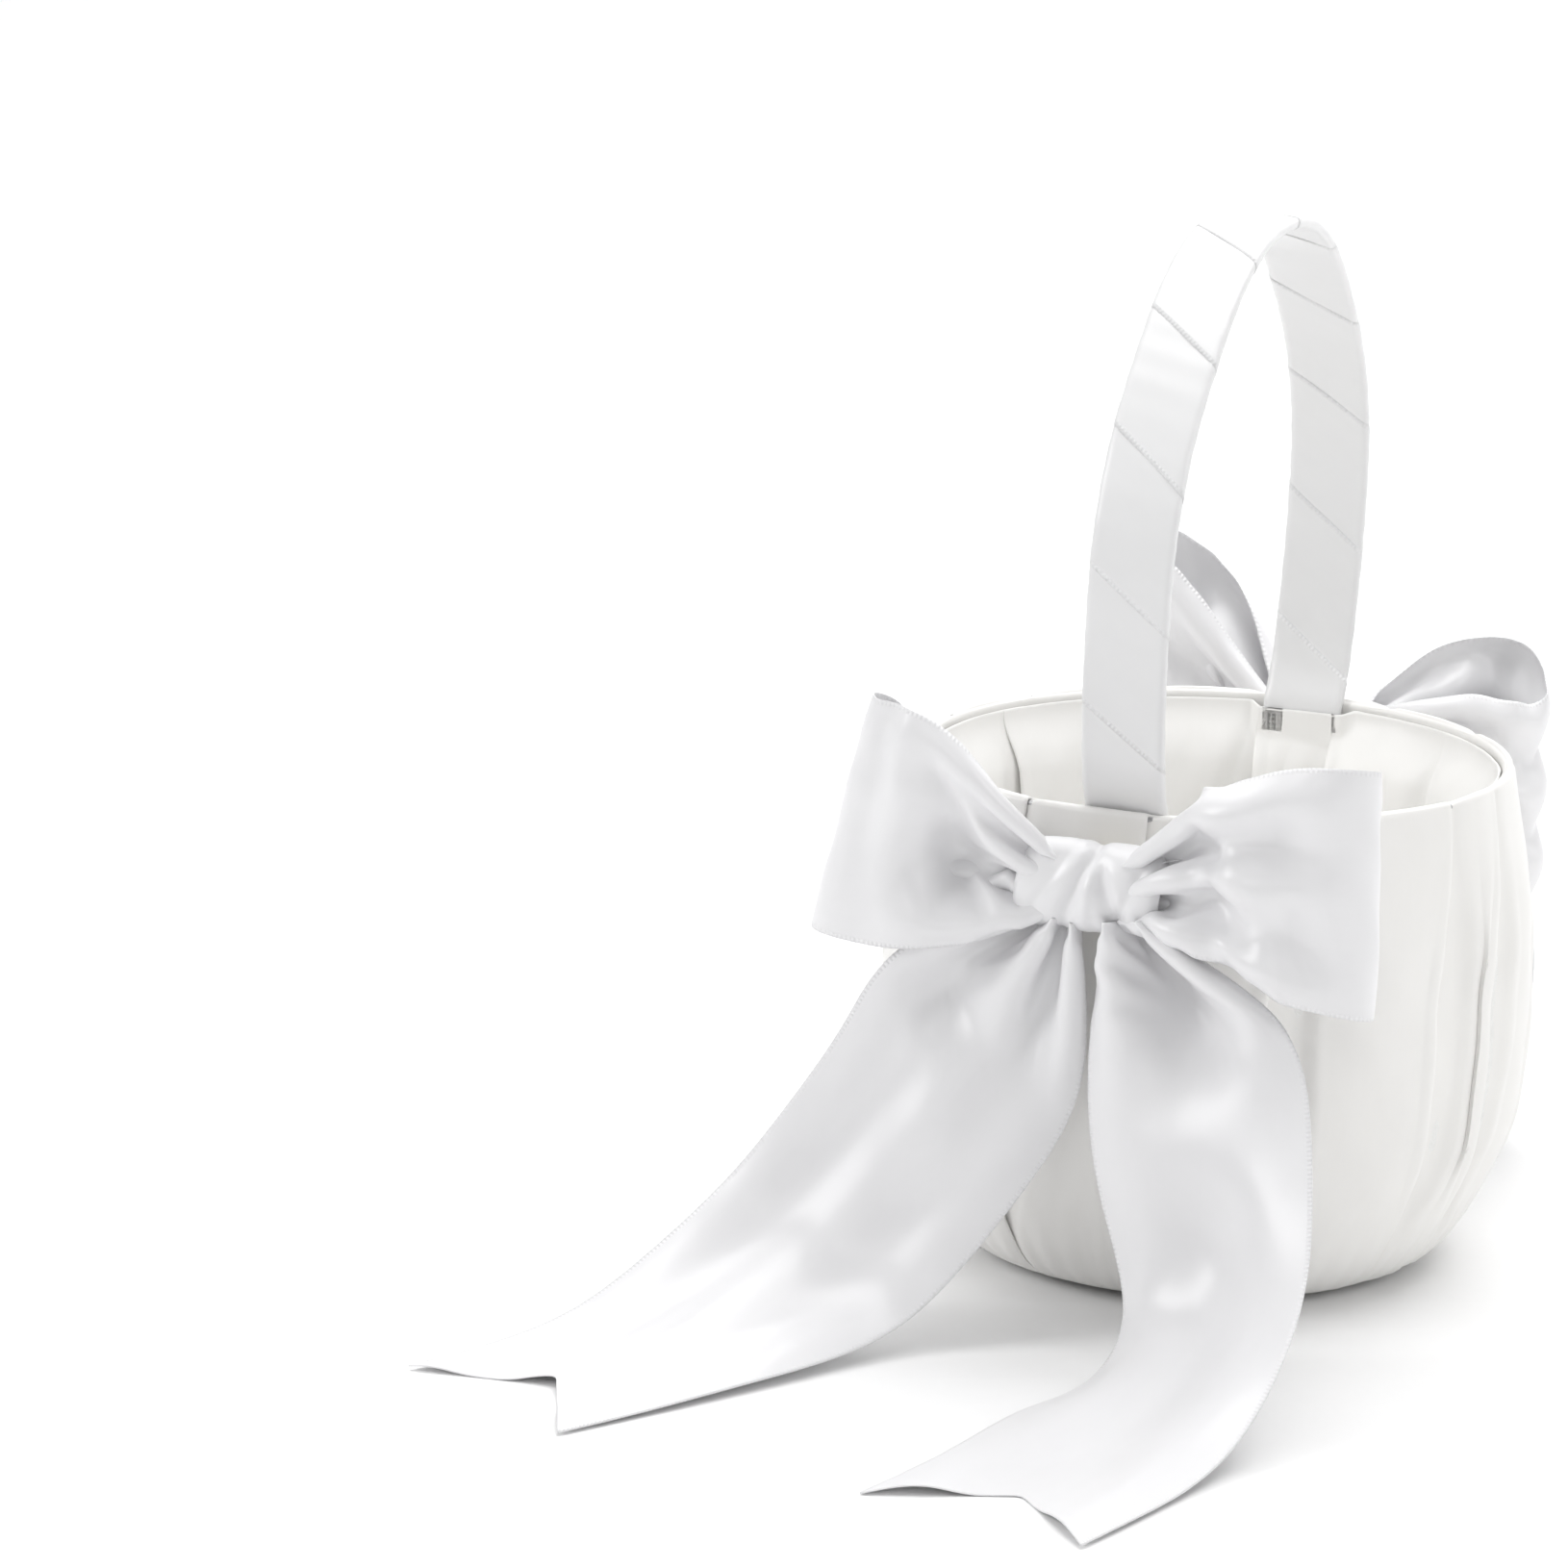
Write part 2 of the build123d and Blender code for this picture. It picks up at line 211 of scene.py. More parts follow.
# Links of the cloth: rows and columns apart, stiffness, and whether they only push.
CLOTH_LINKS = [
    (1, 0, STRETCH, False), (0, 1, STRETCH, False), (1, 1, SHEAR, False), (1, -1, SHEAR, False),
    (3, 0, BEND, True), (0, 3, BEND, True),
]
BEND_REACH = 0.985  # share of its flat length below which a bending link pushes
RELAX_PASSES = 260
SETTLE_PASSES = 12  # last passes, free of the guide
GUIDE_HOLD = 0.12  # pull towards the guide at the first pass
HOLD_EASE = 0.6  # share of that pull that is gone by the last pass
BOWL_GAP = 0.6  # cloth stays this far off the bowl and off the ground
GROUND_GAP = 0.35
BOWL_CORE_R = 30  # nothing nearer the axis than this is pushed off the bowl


class Cloth:
    """A strip of cloth on a grid, relaxed by position-based constraints."""

    def __init__(self, points, du, dv, free):
        self.points = points.copy()
        self.free = free[..., None]
        self.links = []
        rows, cols = points.shape[:2]
        for di, dj, stiff, one_sided in CLOTH_LINKS:
            rest = math.hypot(di * du, dj * dv)
            for colour in (0, 1):
                if di:
                    a = np.array([i for i in range(rows - di) if (i // di) % 2 == colour])
                    b = np.arange(max(-dj, 0), cols - max(dj, 0))
                else:
                    a = np.arange(rows)
                    b = np.array([j for j in range(cols - dj) if (j // dj) % 2 == colour])
                link = np.ix_(a, b), np.ix_(a + di, b + dj)
                self.links.append((*link, rest, stiff, one_sided))

    def pass_once(self):
        """Bring every link nearer to its length."""
        p, w = self.points, self.free
        for first, second, rest, stiff, one_sided in self.links:
            a, b = p[first], p[second]
            wa, wb = w[first], w[second]
            gap = b - a
            length = np.sqrt((gap * gap).sum(-1, keepdims=True)) + 1e-9
            error = length - rest
            if one_sided:
                error = np.minimum(length - BEND_REACH * rest, 0)
            move = gap * (stiff * error / (length * np.maximum(wa + wb, 1e-9)))
            p[first] = a + wa * move
            p[second] = b - wb * move

    def relax(self, guide):
        """Run the passes, drawn to the guide less and less."""
        for step in range(RELAX_PASSES):
            pull = GUIDE_HOLD * (1 - HOLD_EASE * step / RELAX_PASSES)
            self.points += self.free * pull * (guide - self.points)
            self.pass_once()
            keep_out(self.points, self.free)
        for _ in range(SETTLE_PASSES):
            self.pass_once()


def keep_out(points, free):
    """Push cloth off the covered bowl and up from the ground."""
    x, y, z = points[..., 0], points[..., 1], points[..., 2]
    points[..., 2] += free[..., 0] * np.maximum(GROUND_GAP - z, 0)
    radius = np.hypot(x, y)
    wall = np.where(z < RIM_TOP + 1, cover_radius(np.clip(z, 0, RIM_Z)) + BOWL_GAP, 0)
    out = free[..., 0] * np.maximum(wall - radius, 0) * (radius > BOWL_CORE_R)
    scale = 1 + out / np.maximum(radius, 1e-6)
    points[..., 0] *= scale
    points[..., 1] *= scale


# ---- ribbon strips ----
WAVE_SAMPLES = 401
RAIL_SAMPLES = 400
CHORD_MAX = 0.999  # most of the ribbon's width that a folded row may span
PINNED_ROWS = 3
FAIR_PASSES = 90
FAIR_STEPS = (0.6, -0.62)


def wave_row(wave, chord):
    """Points (across, out) of a folded row of ribbon whose ends are chord apart."""
    t = np.linspace(-1, 1, WAVE_SAMPLES)
    shape = natural_curve([k for k, v in wave], [v for k, v in wave], t)
    chord = min(chord, CHORD_MAX * RIBBON_W)

    def run(size):
        steps = np.hypot(np.diff(t) * chord / 2, np.diff(shape) * size)
        return np.concatenate([[0], np.cumsum(steps)])

    # Halve the range of fold heights until the row is as long as the ribbon is wide.
    low, high = 0.0, 3.0 * RIBBON_W
    for _ in range(40):
        size = (low + high) / 2
        if run(size)[-1] < RIBBON_W:
            low = size
        else:
            high = size
    length = run(size)
    at = np.linspace(0, length[-1], RIBBON_COLS)
    across = np.interp(at, length, t) * chord / 2
    out = np.interp(at, length, shape) * size
    return across, out


def strip_guide(rails, wave, hollows, slack):
    """Guide surface of a ribbon from pairs of edge points, and its length.

    Width that the edges don't span goes into folds of the wave's shape.
    """
    rails = np.array(rails, float)
    run = running_length((rails[:, 0] + rails[:, 1]) / 2)
    fine = np.linspace(0, run[-1], RAIL_SAMPLES)
    edges = [natural_curve(run, rails[:, k], fine) for k in (0, 1)]
    true_run = running_length((edges[0] + edges[1]) / 2)
    edge_runs = [np.linalg.norm(np.diff(edge, axis=0), axis=1).sum() for edge in edges]
    total = slack * max(true_run[-1], sum(edge_runs) / 2)
    rows = int(round(total / CELL)) + 1
    at = np.linspace(0, true_run[-1], rows)
    a, b = [
        np.stack([np.interp(at, true_run, edge[:, k]) for k in range(3)], axis=1) for edge in edges
    ]
    mid = (a + b) / 2
    across_dir = unit(b - a)
    along = unit(np.gradient(mid, axis=0))
    out_dir = unit(np.cross(across_dir, along))
    t = np.linspace(-1, 1, RIBBON_COLS)
    points = np.zeros((rows, RIBBON_COLS, 3))
    for i in range(rows):
        across, out = wave_row(wave, np.linalg.norm(b[i] - a[i]))
        for place, middle_t, long, wide, deep, slant in hollows:
            pressed = deep * bump(i / (rows - 1) - slant * t, place, long)
            out = out - pressed * bump(t, middle_t, wide)
        points[i] = mid[i] + across[:, None] * across_dir[i] + out[:, None] * out_dir[i]
    return points, total


def fair(points, free):
    """Smooth away small wrinkles without shrinking the folds.

    It works along the strip everywhere, and across it only away from the
    pinned ends, where the folds are fine.
    """
    pinned = np.where(free[:, 0] == 0)[0]
    away = np.min(np.abs(np.arange(len(points))[:, None] - pinned[None, :]), axis=1)
    along = smooth(away, 2, 8)[:, None, None]
    across = smooth(away, 8, 26)[:, None, None]
    for _ in range(FAIR_PASSES):
        for size in FAIR_STEPS:
            wide = np.pad(points, ((1, 1), (1, 1), (0, 0)), mode="reflect", reflect_type="odd")
            mean_u = (wide[2:, 1:-1] + wide[:-2, 1:-1]) / 2
            mean_v = (wide[1:-1, 2:] + wide[1:-1, :-2]) / 2
            shift = along * (mean_u - points) + across * (mean_v - points)
            points = points + size * shift / 2
    return points


def relaxed_strip(name, rails, wave, hollows, slack=1.0, pin_end=False, cut=None):
    """A ribbon strip relaxed from its guide, and its length."""
    points, total = strip_guide(rails, wave, hollows, slack)
    rows, cols = points.shape[:2]
    free = np.ones((rows, cols))
    free[:PINNED_ROWS] = 0
    if pin_end:
        free[-PINNED_ROWS:] = 0
    cloth = Cloth(points, total / (rows - 1), RIBBON_W / (cols - 1), free)
    cloth.relax(points)
    relaxed = fair(cloth.points, free)
    obj = grid_mesh(name, relaxed, flat_uv(rows, cols, total, RIBBON_W))
    if cut:
        swallowtail(obj, relaxed, cut)
    finish_cloth(obj, RIBBON_T)
    return obj, total


def swallowtail(obj, points, depth):
    """Trim the strip's end to a notch by sliding its last rows back in the middle."""
    rows, cols = points.shape[:2]
    t = np.abs(np.linspace(-1, 1, cols))
    cell = np.linalg.norm(points[-1, cols // 2] - points[-2, cols // 2])
    span = int(depth / cell) + 6
    start = rows - 1 - span
    source = np.arange(rows, dtype=float)
    for j in range(cols):
        scale = (span - depth * (1 - t[j]) / cell) / span
        target = np.where(source <= start, source, start + (source - start) * scale)
        column = np.stack([np.interp(target, source, points[:, j, k]) for k in range(3)], axis=1)
        for i in range(start, rows):
            obj.data.vertices[i * cols + j].co = Vector(column[i]) * MM


# ---- bows ----
# Edge rails are pairs of points, one on each edge of the ribbon, in order
# along it.  A wave gives the shape of the folds across the ribbon.
FRONT_LEFT_LOOP = [
    ((-8, -76.5, 88), (-8, -76.5, 102.5)), ((-13, -79, 86), (-12.5, -79.5, 107)),
    ((-21, -84.5, 83), (-18.5, -85, 116)), ((-32, -88.5, 81), (-27, -88.5, 126)),
    ((-46, -88.5, 80), (-37, -87.5, 131.5)), ((-56, -86, 79.5), (-43.5, -84.5, 133)),
    ((-58.5, -80.5, 80), (-45, -80, 132)), ((-54, -75.5, 81), (-41, -76, 127)),
    ((-38, -73.5, 83), (-31, -73.5, 117)), ((-24, -73, 86), (-20, -73, 106)),
    ((-8, -75.5, 89.5), (-8, -75.5, 101)),
]
LEFT_LOOP_WAVE = [
    (-1, -0.3), (-0.72, 0.8), (-0.12, -1.0), (0.32, 0.75), (0.5, -0.1), (0.74, 0.9), (1, -0.2),
]
FRONT_RIGHT_LOOP = [
    ((9, -76.5, 102.5), (9, -76.5, 88)), ((14, -79.5, 107), (14, -79, 88)),
    ((22, -85, 116.5), (23, -84.5, 87)), ((32, -88.5, 122), (34, -88, 84.5)),
    ((47, -88.5, 127), (48, -87, 79)), ((57.5, -85, 127.5), (58.5, -84.5, 76)),
    ((60.5, -80, 126.5), (61, -80, 75)), ((56, -75.5, 122), (56, -75.5, 75.5)),
    ((42, -73, 115), (40, -73.5, 79)), ((26, -73, 106), (26, -73.5, 86)),
    ((9, -75.5, 101), (9, -75.5, 89.5)),
]
RIGHT_LOOP_WAVE = [
    (-1, -0.8), (-0.7, 0.9), (-0.35, -0.6), (0.0, 0.9), (0.45, -0.7), (0.8, 0.8), (1, 0.2),
]
REAR_LEFT_LOOP = [
    ((-8, -77, 90), (-8, -77, 100)), ((-13, -81, 87), (-13, -81, 107)),
    ((-21, -85, 85), (-19, -86, 119)), ((-31, -88, 84), (-28, -88, 129)),
    ((-44, -88, 86), (-38, -87, 136)), ((-53, -84, 88), (-46, -84, 138)),
    ((-54.5, -79, 89), (-47.5, -79, 138)), ((-50, -75, 88), (-43, -75, 136)),
    ((-37, -73, 86), (-32, -73, 128)), ((-22, -72.5, 87), (-20, -72.5, 114)),
    ((-8, -74.5, 91), (-8, -74.5, 100)),
]
REAR_RIGHT_LOOP = [
    ((9, -77, 102), (9, -77, 89)), ((14, -80, 106), (14, -80, 89)),
    ((22, -85.5, 114), (21, -84, 85)), ((32, -88.5, 119), (30, -87, 77)),
    ((42, -88.5, 117), (40, -87, 70)), ((47.5, -84, 112), (47.5, -84, 66)),
    ((48.5, -79, 108), (49, -79, 64)), ((45.5, -74.5, 108), (45.5, -75, 67)),
    ((36, -73, 109), (34, -73.5, 76)), ((23, -73, 106), (23, -73, 86)),
    ((9, -75, 101), (9, -75, 90)),
]

# A tail's stations from the knot to its end: centre x, y, z, width, heading
# of the width in plan and its tilt, in degrees.
FRONT_LEFT_TAIL = [
    (-7, -76, 88, 10, 6, -10), (-12, -78, 79, 26, 12, -28), (-18, -80.5, 69, 44, 13, -34),
    (-27, -84, 51, 50, 4, -34), (-38, -88.5, 33, 50, -7, -33), (-49, -96.5, 18, 50, -16, -28),
    (-59.5, -112, 9.2, 50, -25, -16), (-69.5, -130, 3.8, 50, -28, -5),
    (-80, -149.5, 1.4, 50, -29, -1), (-91, -169, 0.6, 50, -30, 0),
]
LEFT_TAIL_WAVE = [
    (-1, 0.1), (-0.72, 0.8), (-0.42, -0.5), (0.0, 0.8), (0.5, -0.9), (0.82, 0.5), (1, 0.2),
]
FRONT_RIGHT_TAIL = [
    (9, -77, 89, 10, 0, 8), (15, -79, 80, 25, -2, 11), (22, -81.5, 71, 41, -4, 12),
    (27.5, -86, 55, 50, -7, 15), (32.5, -92.5, 38, 50, -12, 18), (37.5, -101.5, 21.5, 50, -20, 22),
    (37, -117, 10, 50, -18, 17), (33, -135, 4.2, 50, -14, 5), (29, -154.5, 1.4, 50, -12.5, 0),
    (25, -174, 0.7, 50, -12.5, 0), (20.5, -193.5, 0.6, 50, -12.5, 0),
]
RIGHT_TAIL_WAVE = [(-1, 0.2), (-0.62, 0.9), (0.1, -1.0), (0.62, 0.9), (1, -0.2)]
REAR_RIGHT_TAIL = [
    (7, 76, 88, 10, 0, 8), (14, 79, 79, 26, 3, 8), (19, 82, 70, 42, 5, 6), (22, 86.5, 54, 50, 8, 3),
    (21, 92, 37, 50, 12, 1), (16, 100, 21.5, 50, 18, 0), (7, 114, 9, 50, 23, 0),
    (-3, 132, 3, 50, 26, 0), (-13, 151, 1, 50, 27, 0), (-23.5, 171, 0.6, 50, 27, 0),
]
NOTCH = 19.0
# Hollows (and, with a negative depth, ridges) pressed into a ribbon: place
# along it and across it (-1 to 1), size along and across, depth, and slant.
LEFT_LOOP_HOLLOWS = [
    (0.205, -0.12, 0.075, 0.42, 12.0, 0.0), (0.33, 0.2, 0.06, 1.0, -2.5, 0.03),
]
RIGHT_LOOP_HOLLOWS = [
    (0.17, 0.0, 0.04, 1.1, 8.0, 0.05), (0.27, 0.0, 0.05, 1.3, -5.0, 0.075),
    (0.4, 0.0, 0.05, 1.2, -1.5, 0.0),
]
LEFT_TAIL_HOLLOWS = [(0.16, 0.3, 0.05, 0.35, 4.0, 0.0), (0.3, -0.3, 0.08, 0.5, -3.0, 0.0)]
RIGHT_TAIL_HOLLOWS = [(0.11, -0.1, 0.05, 0.33, 8.0, 0.0), (0.27, 0.1, 0.09, 0.6, -4.0, 0.0)]
LOOP_SLACK = 1.03  # extra cloth along a loop, which its hollows and folds take up


def tail_rails(stations, rear=False):
    """Right and left edge points at each station, as seen by someone who faces the bow."""
    rails = []
    for x, y, z, width, heading, tilt in stations:
        turn, rise = math.radians(heading), math.radians(tilt)
        level = math.cos(rise)
        across = np.array([math.cos(turn) * level, math.sin(turn) * level, math.sin(rise)])
        middle = np.array([x, y, z])
        east, west = middle + across * width / 2, middle - across * width / 2
        rails.append((west, east) if rear else (east, west))
    return rails


def mirrored_rails(rails):
    """The same rails behind the XZ plane, the edges swapped so that folds still face out."""
    flip = np.array([1, -1, 1])
    return [(np.array(b) * flip, np.array(a) * flip) for a, b in rails]


def mirrored_stations(stations):
    """The same tail behind the XZ plane."""
    return [(x, -y, z, width, -heading, tilt) for x, y, z, width, heading, tilt in stations]


KNOT_SPAN = (-14.6, 15.4)
KNOT_HIGH = 9.2  # half height and half depth of the knot
KNOT_DEEP = 7.0
KNOT_GRID = (110, 96)  # rows along X, columns round it
KNOT_RISE = 0.6  # the knot sits this much above its node's middle
KNOT_SLANT = 0.9  # its top leans this far along X
KNOT_FLARE = 0.10  # how much it narrows by its ends
# One end of the knot's section: distance from the end and how far it turns in.
KNOT_END = [(10.5, 3.4), (1.0, 2.6), (0.0, 1.3), (1.0, 0.3)]
# Creases across the knot: place along X, slant with height, depth, width.
KNOT_CREASES = [
    (-2.0, 0.32, 1.5, 1.4), (4.8, -0.42, 1.7, 2.0), (-8.0, 0.5, 0.5, 1.3),
    (9.8, 0.3, 0.7, 1.3), (1.4, 0.1, -0.6, 1.2),
]


def knot_points(side):
    """The knot: ribbon wound round the bow's waist, its edges turned in, creased across."""
    low, high = node_box(side + "_bow_knot")
    centre = (low + high) / 2
    facing = -1 if side == "front" else 1
    rows, cols = KNOT_GRID
    left, right = KNOT_SPAN
    # Across the ribbon: from one hidden edge out to the knot's end, over it and back in.
    section = [(left + from_end, turned_in) for from_end, turned_in in KNOT_END]
    section += [(x, 0.0) for x in np.linspace(left + 3.0, right - 3.0, 9)]
    section += [(right - from_end, turned_in) for from_end, turned_in in reversed(KNOT_END)]
    curve = natural_curve(np.linspace(0, 1, len(section)), section, np.linspace(0, 1, rows))
    x, inward = curve[:, :1], curve[:, 1:]
    turn = np.linspace(0, 2 * math.pi, cols, endpoint=False)[None, :]
    out = np.cos(turn)
    up = np.sin(turn)
    along = (x - (left + right) / 2) * 2 / (right - left)
    flare = 1.0 - KNOT_FLARE * along ** 4
    depth = np.zeros((rows, cols))
    for place, slant, deep, wide in KNOT_CREASES:
        line = place + slant * up * KNOT_HIGH
        depth += deep * bump(x, line, wide) * (0.45 + 0.55 * out.clip(0, 1))
    radius_y = KNOT_DEEP * flare - depth - inward
    radius_z = KNOT_HIGH * flare - 0.6 * depth - inward
    points = np.zeros((rows, cols, 3))
    points[..., 0] = x + KNOT_SLANT * up
    points[..., 1] = centre[1] + facing * out * radius_y
    points[..., 2] = centre[2] + KNOT_RISE + up * radius_z
    return points


def make_bow(side):
    """Two loops, two tails and a knot: each piece and its length, by the node it stands for."""
    rear = side == "rear"
    loops = {
        "left": (REAR_LEFT_LOOP if rear else FRONT_LEFT_LOOP, LEFT_LOOP_WAVE, LEFT_LOOP_HOLLOWS),
        "right": (REAR_RIGHT_LOOP if rear else FRONT_RIGHT_LOOP, RIGHT_LOOP_WAVE, RIGHT_LOOP_HOLLOWS),
    }
    left_tail = mirrored_stations(FRONT_LEFT_TAIL) if rear else FRONT_LEFT_TAIL
    right_tail = REAR_RIGHT_TAIL if rear else FRONT_RIGHT_TAIL
    tails = {
        "left": (left_tail, LEFT_TAIL_WAVE, LEFT_TAIL_HOLLOWS),
        "right": (right_tail, RIGHT_TAIL_WAVE, RIGHT_TAIL_HOLLOWS),
    }
    made = {}
    for hand, (rails, *folds) in loops.items():
        rails = mirrored_rails(rails) if rear else rails
        made[f"{side}_bow_{hand}_loop"] = relaxed_strip(
            f"{side}_{hand}_loop_ribbon", rails, *folds, LOOP_SLACK, pin_end=True
        )
    for hand, (stations, *folds) in tails.items():
        made[f"{side}_bow_{hand}_tail"] = relaxed_strip(
            f"{side}_{hand}_tail_ribbon", tail_rails(stations, rear), *folds, cut=NOTCH
        )
    points = knot_points(side)
    rows, cols = points.shape[:2]
    around = 2 * math.pi * (KNOT_HIGH + KNOT_DEEP) / 2
    across_uv = flat_uv(rows, cols, RIBBON_W, around * (cols - 1) / cols)
    knot = grid_mesh(f"{side}_knot_ribbon", points, across_uv[..., ::-1], close_v=True)
    finish_cloth(knot, RIBBON_T, level=0)
    made[f"{side}_bow_knot"] = (knot, around)
    return made


# ---- cover ----
# Knife pleats of the cover: angle of the edge at the rim and how far it leans
# by the belly (degrees), and how far the tuck opens.
COVER_PLEATS = [
    (18, -7, 0.9), (43, -5, 0.8), (69, -8, 1.0), (97, -6, 0.8), (122, -7, 0.9), (148, -6, 0.8),
    (173, -8, 1.0), (199, -6, 0.85), (226, -7, 0.9), (251, -5, 0.8), (276, -4, 0.5), (303, -5, 0.8),
    (339, -8, 1.0), (355.5, -8.5, 1.0),
]
# Across a pleat: (along the wall, out from it) where it is pressed shut at the
# rim and where it gapes over the belly.
PLEAT_SHUT = [
    (-3, 0.35), (-1.2, 0.35), (-0.2, 0.15), (-0.5, -0.12), (-3.4, -0.2), (-5.6, -0.3), (-6.0, -0.45),
    (-5.4, -0.6), (-3.0, -0.62), (0.6, -0.55), (2.4, -0.1), (4.6, 0.25), (8, 0.35),
]
PLEAT_OPEN = [
    (-3, 2.2), (-1.0, 2.7), (0.4, 2.4), (0.4, 1.3), (-0.8, 0.0), (-2.0, -1.1), (-2.0, -1.6),
    (-0.8, -1.9), (3.0, -2.0), (8.0, -1.9), (11.5, -0.9), (13.8, 0.8), (16, 1.2),
]
PLEAT_COLS = 44  # columns in a pleat and in the flat between two
FLAT_COLS = 12
FLAT_SWELL = (0.15, 0.5)  # how far that flat swells out, pleats shut and open


def pleat_table(pleats, radius):
    """Angle, lean, gape, spread and offset of each column, pressed shut and then open."""
    knots = np.arange(len(PLEAT_SHUT), dtype=float)
    at = np.linspace(0, len(PLEAT_SHUT) - 1, PLEAT_COLS)
    curves = [natural_curve(knots, shape, at) for shape in (PLEAT_SHUT, PLEAT_OPEN)]
    table = []
    count = len(pleats)
    for k, (angle, lean, gape) in enumerate(pleats):
        next_angle, next_lean, next_gape = pleats[(k + 1) % count]
        next_angle += 360 if k + 1 == count else 0
        shapes = []
        for curve, swell in zip(curves, FLAT_SWELL):
            body = np.zeros((PLEAT_COLS, 5))
            body[:, :3] = angle, lean, gape
            body[:, 3] = np.degrees(curve[:, 0] / radius)
            body[:, 4] = curve[:, 1]
            s = np.linspace(0, 1, FLAT_COLS + 2)[1:-1, None]
            stop = np.array([next_angle, next_lean, next_gape, *body[0, 3:]])
            flat = body[-1] * (1 - s) + stop * s
            flat[:, 4] += swell * np.sin(math.pi * s[:, 0])
            shapes.append(np.concatenate([body, flat]))
        table.append(np.stack(shapes))
    return np.concatenate(table, axis=1)


def even_angles(table):
    """Angles that spread the table's columns evenly round the basket."""
    turn = np.linspace(0, 360, table.shape[1], endpoint=False)
    return np.radians(table[0, 0, 0] + turn)[None, :]


def pleat_layout(table, gape, lean):
    """Angle and offset of each column where the pleats gape and lean by these shares."""
    shut, opened = table[:, None]
    gape = gape * shut[..., 2]
    spread = shut[..., 3] * (1 - gape) + opened[..., 3] * gape
    offset = shut[..., 4] * (1 - gape) + opened[..., 4] * gape
    return np.radians(shut[..., 0] + lean * shut[..., 1] + spread), offset, gape


COVER_FOOT = DISC_T + 0.3  # the cover's lowest point, on the card disc
HEM_RADII = (34.0, 37.0, 40.0)
HEM_Z = 97  # height of the hem inside the rim


def cover_profile():
    """Points, outward direction and running length down the cover's section, hem to hem."""
    points = [(radius, COVER_FOOT) for radius in HEM_RADII]
    for turn in np.radians(np.arange(0, 90, 2.5)):
        z = BELLY_Z - (BELLY_Z - COVER_FOOT) * math.cos(turn)
        points.append((BASE_R + (BELLY_R - BASE_R) * math.sin(turn), z))
    for z in np.arange(BELLY_Z, RIM_Z, 1.6):
        points.append((float(cover_radius(z)), z))
    for turn in np.radians(np.arange(0, 181, 15)):
        points.append((RIM_R - ROLL_R + ROLL_R * math.cos(turn), RIM_Z + ROLL_R * math.sin(turn)))
    for z in np.arange(RIM_Z - 1.5, HEM_Z, -1.5):
        points.append((RIM_R - 2 * ROLL_R, z))
    points = np.array(points)
    along = unit(np.gradient(points, axis=0))
    outward = np.stack([along[:, 1], -along[:, 0]], axis=1)
    return points - outward * COVER_T / 2, outward, running_length(points)


# Swells of slack cloth: how many round the basket, phase, twist and size.
SOFT_FOLDS = [(9, 0.4, 0.012, 0.28), (17, 2.1, -0.02, 0.2), (29, 4.0, 0.03, 0.12)]


def soft_folds(angle, z):
    """Low vertical swells of cloth that hangs a little slack, angle in radians."""
    wave = np.zeros(np.broadcast(angle, z).shape)
    for count, phase, twist, size in SOFT_FOLDS:
        wave += size * np.sin(count * angle + phase + twist * count * (z - BELLY_Z) / 3)
    return wave


def make_cover():
    """The satin cover: one cloth from the hem under the base, up in knife pleats, over the rim.

    Returns the piece and its flat size round and up.
    """
    profile, outward, run = cover_profile()
    z = profile[:, 1][:, None]
    outside = (np.arange(len(profile)) <= np.argmax(profile[:, 1]))[:, None]
    table = pleat_table(COVER_PLEATS, BELLY_R)
    opening = smooth(RIM_TOP - z, 2, 38) * smooth(z, 9, 36) * outside
    angle, offset, _ = pleat_layout(table, opening, smooth(RIM_TOP - z, 0, 45))
    offset = offset * (np.where(outside, 1.0, 0.0) * (0.25 + 0.75 * smooth(z, 0, 14)))
    # Inside the rim and under the base the columns are spread out evenly.
    unfold = np.where(outside, smooth(4 - z, 0, 3), smooth(RIM_TOP - z, 0.0, 1.0))
    angle = angle * (1 - unfold) + even_angles(table) * unfold
    offset = offset * (1 - unfold)
    side = smooth(z, 6, 30) * smooth(RIM_Z - z, 2, 30) * outside
    offset = offset + soft_folds(angle, z) * side
    # Fine gathers where the cloth is drawn in under the base.
    gather = 0.32 * np.sin(71 * angle + 3 * np.sin(5 * angle))
    gather = gather * smooth(24 - z, 0, 14) * smooth(z, 1.5, 4)
    offset = offset + gather * outside
    radius = profile[:, 0][:, None] + offset * outward[:, 0][:, None]
    height = z + offset * outward[:, 1][:, None]
    points = np.stack([radius * np.cos(angle), radius * np.sin(angle), height], axis=-1)
    points[..., 2] = np.maximum(points[..., 2], COVER_FOOT)
    uv, around = pleated_uv(points, profile[:, 1], run)
    obj = grid_mesh("satin_cover", points, uv, close_v=True)
    finish_cloth(obj, COVER_T * 0.8)
    return obj, around, run[-1]


# ---- lining ----
LINING_T = 0.4
LINING_PLEATS = [
    (22, 4, 0.7), (52, -5, 0.8), (82, -4, 1.0), (99, -2, 1.0), (128, 5, 0.7), (158, -4, 0.8),
    (187, 3, 0.7), (214, -5, 0.8), (240, 4, 0.7), (263, -3, 0.6), (290, 3, 0.6), (316, -4, 0.8),
    (352, 5, 0.9),
]
LINING_FOOT = 4.7  # the lining's underside at the floor
FLOOR_EDGE_R = 40  # where the lining turns from the floor to the wall
LEG_HALF_W = 9.6  # the lining lies flat over the handle's leg for this far each side
LEG_FACE = 56.9
LEG_SHIFT = 0.9  # the leaning leg's middle at the rim
LEG_DIP = 0.9  # how far the lining's edge dips over a leg
RIM_FLARE = 3.3  # how far the lining's edge spreads under the rim


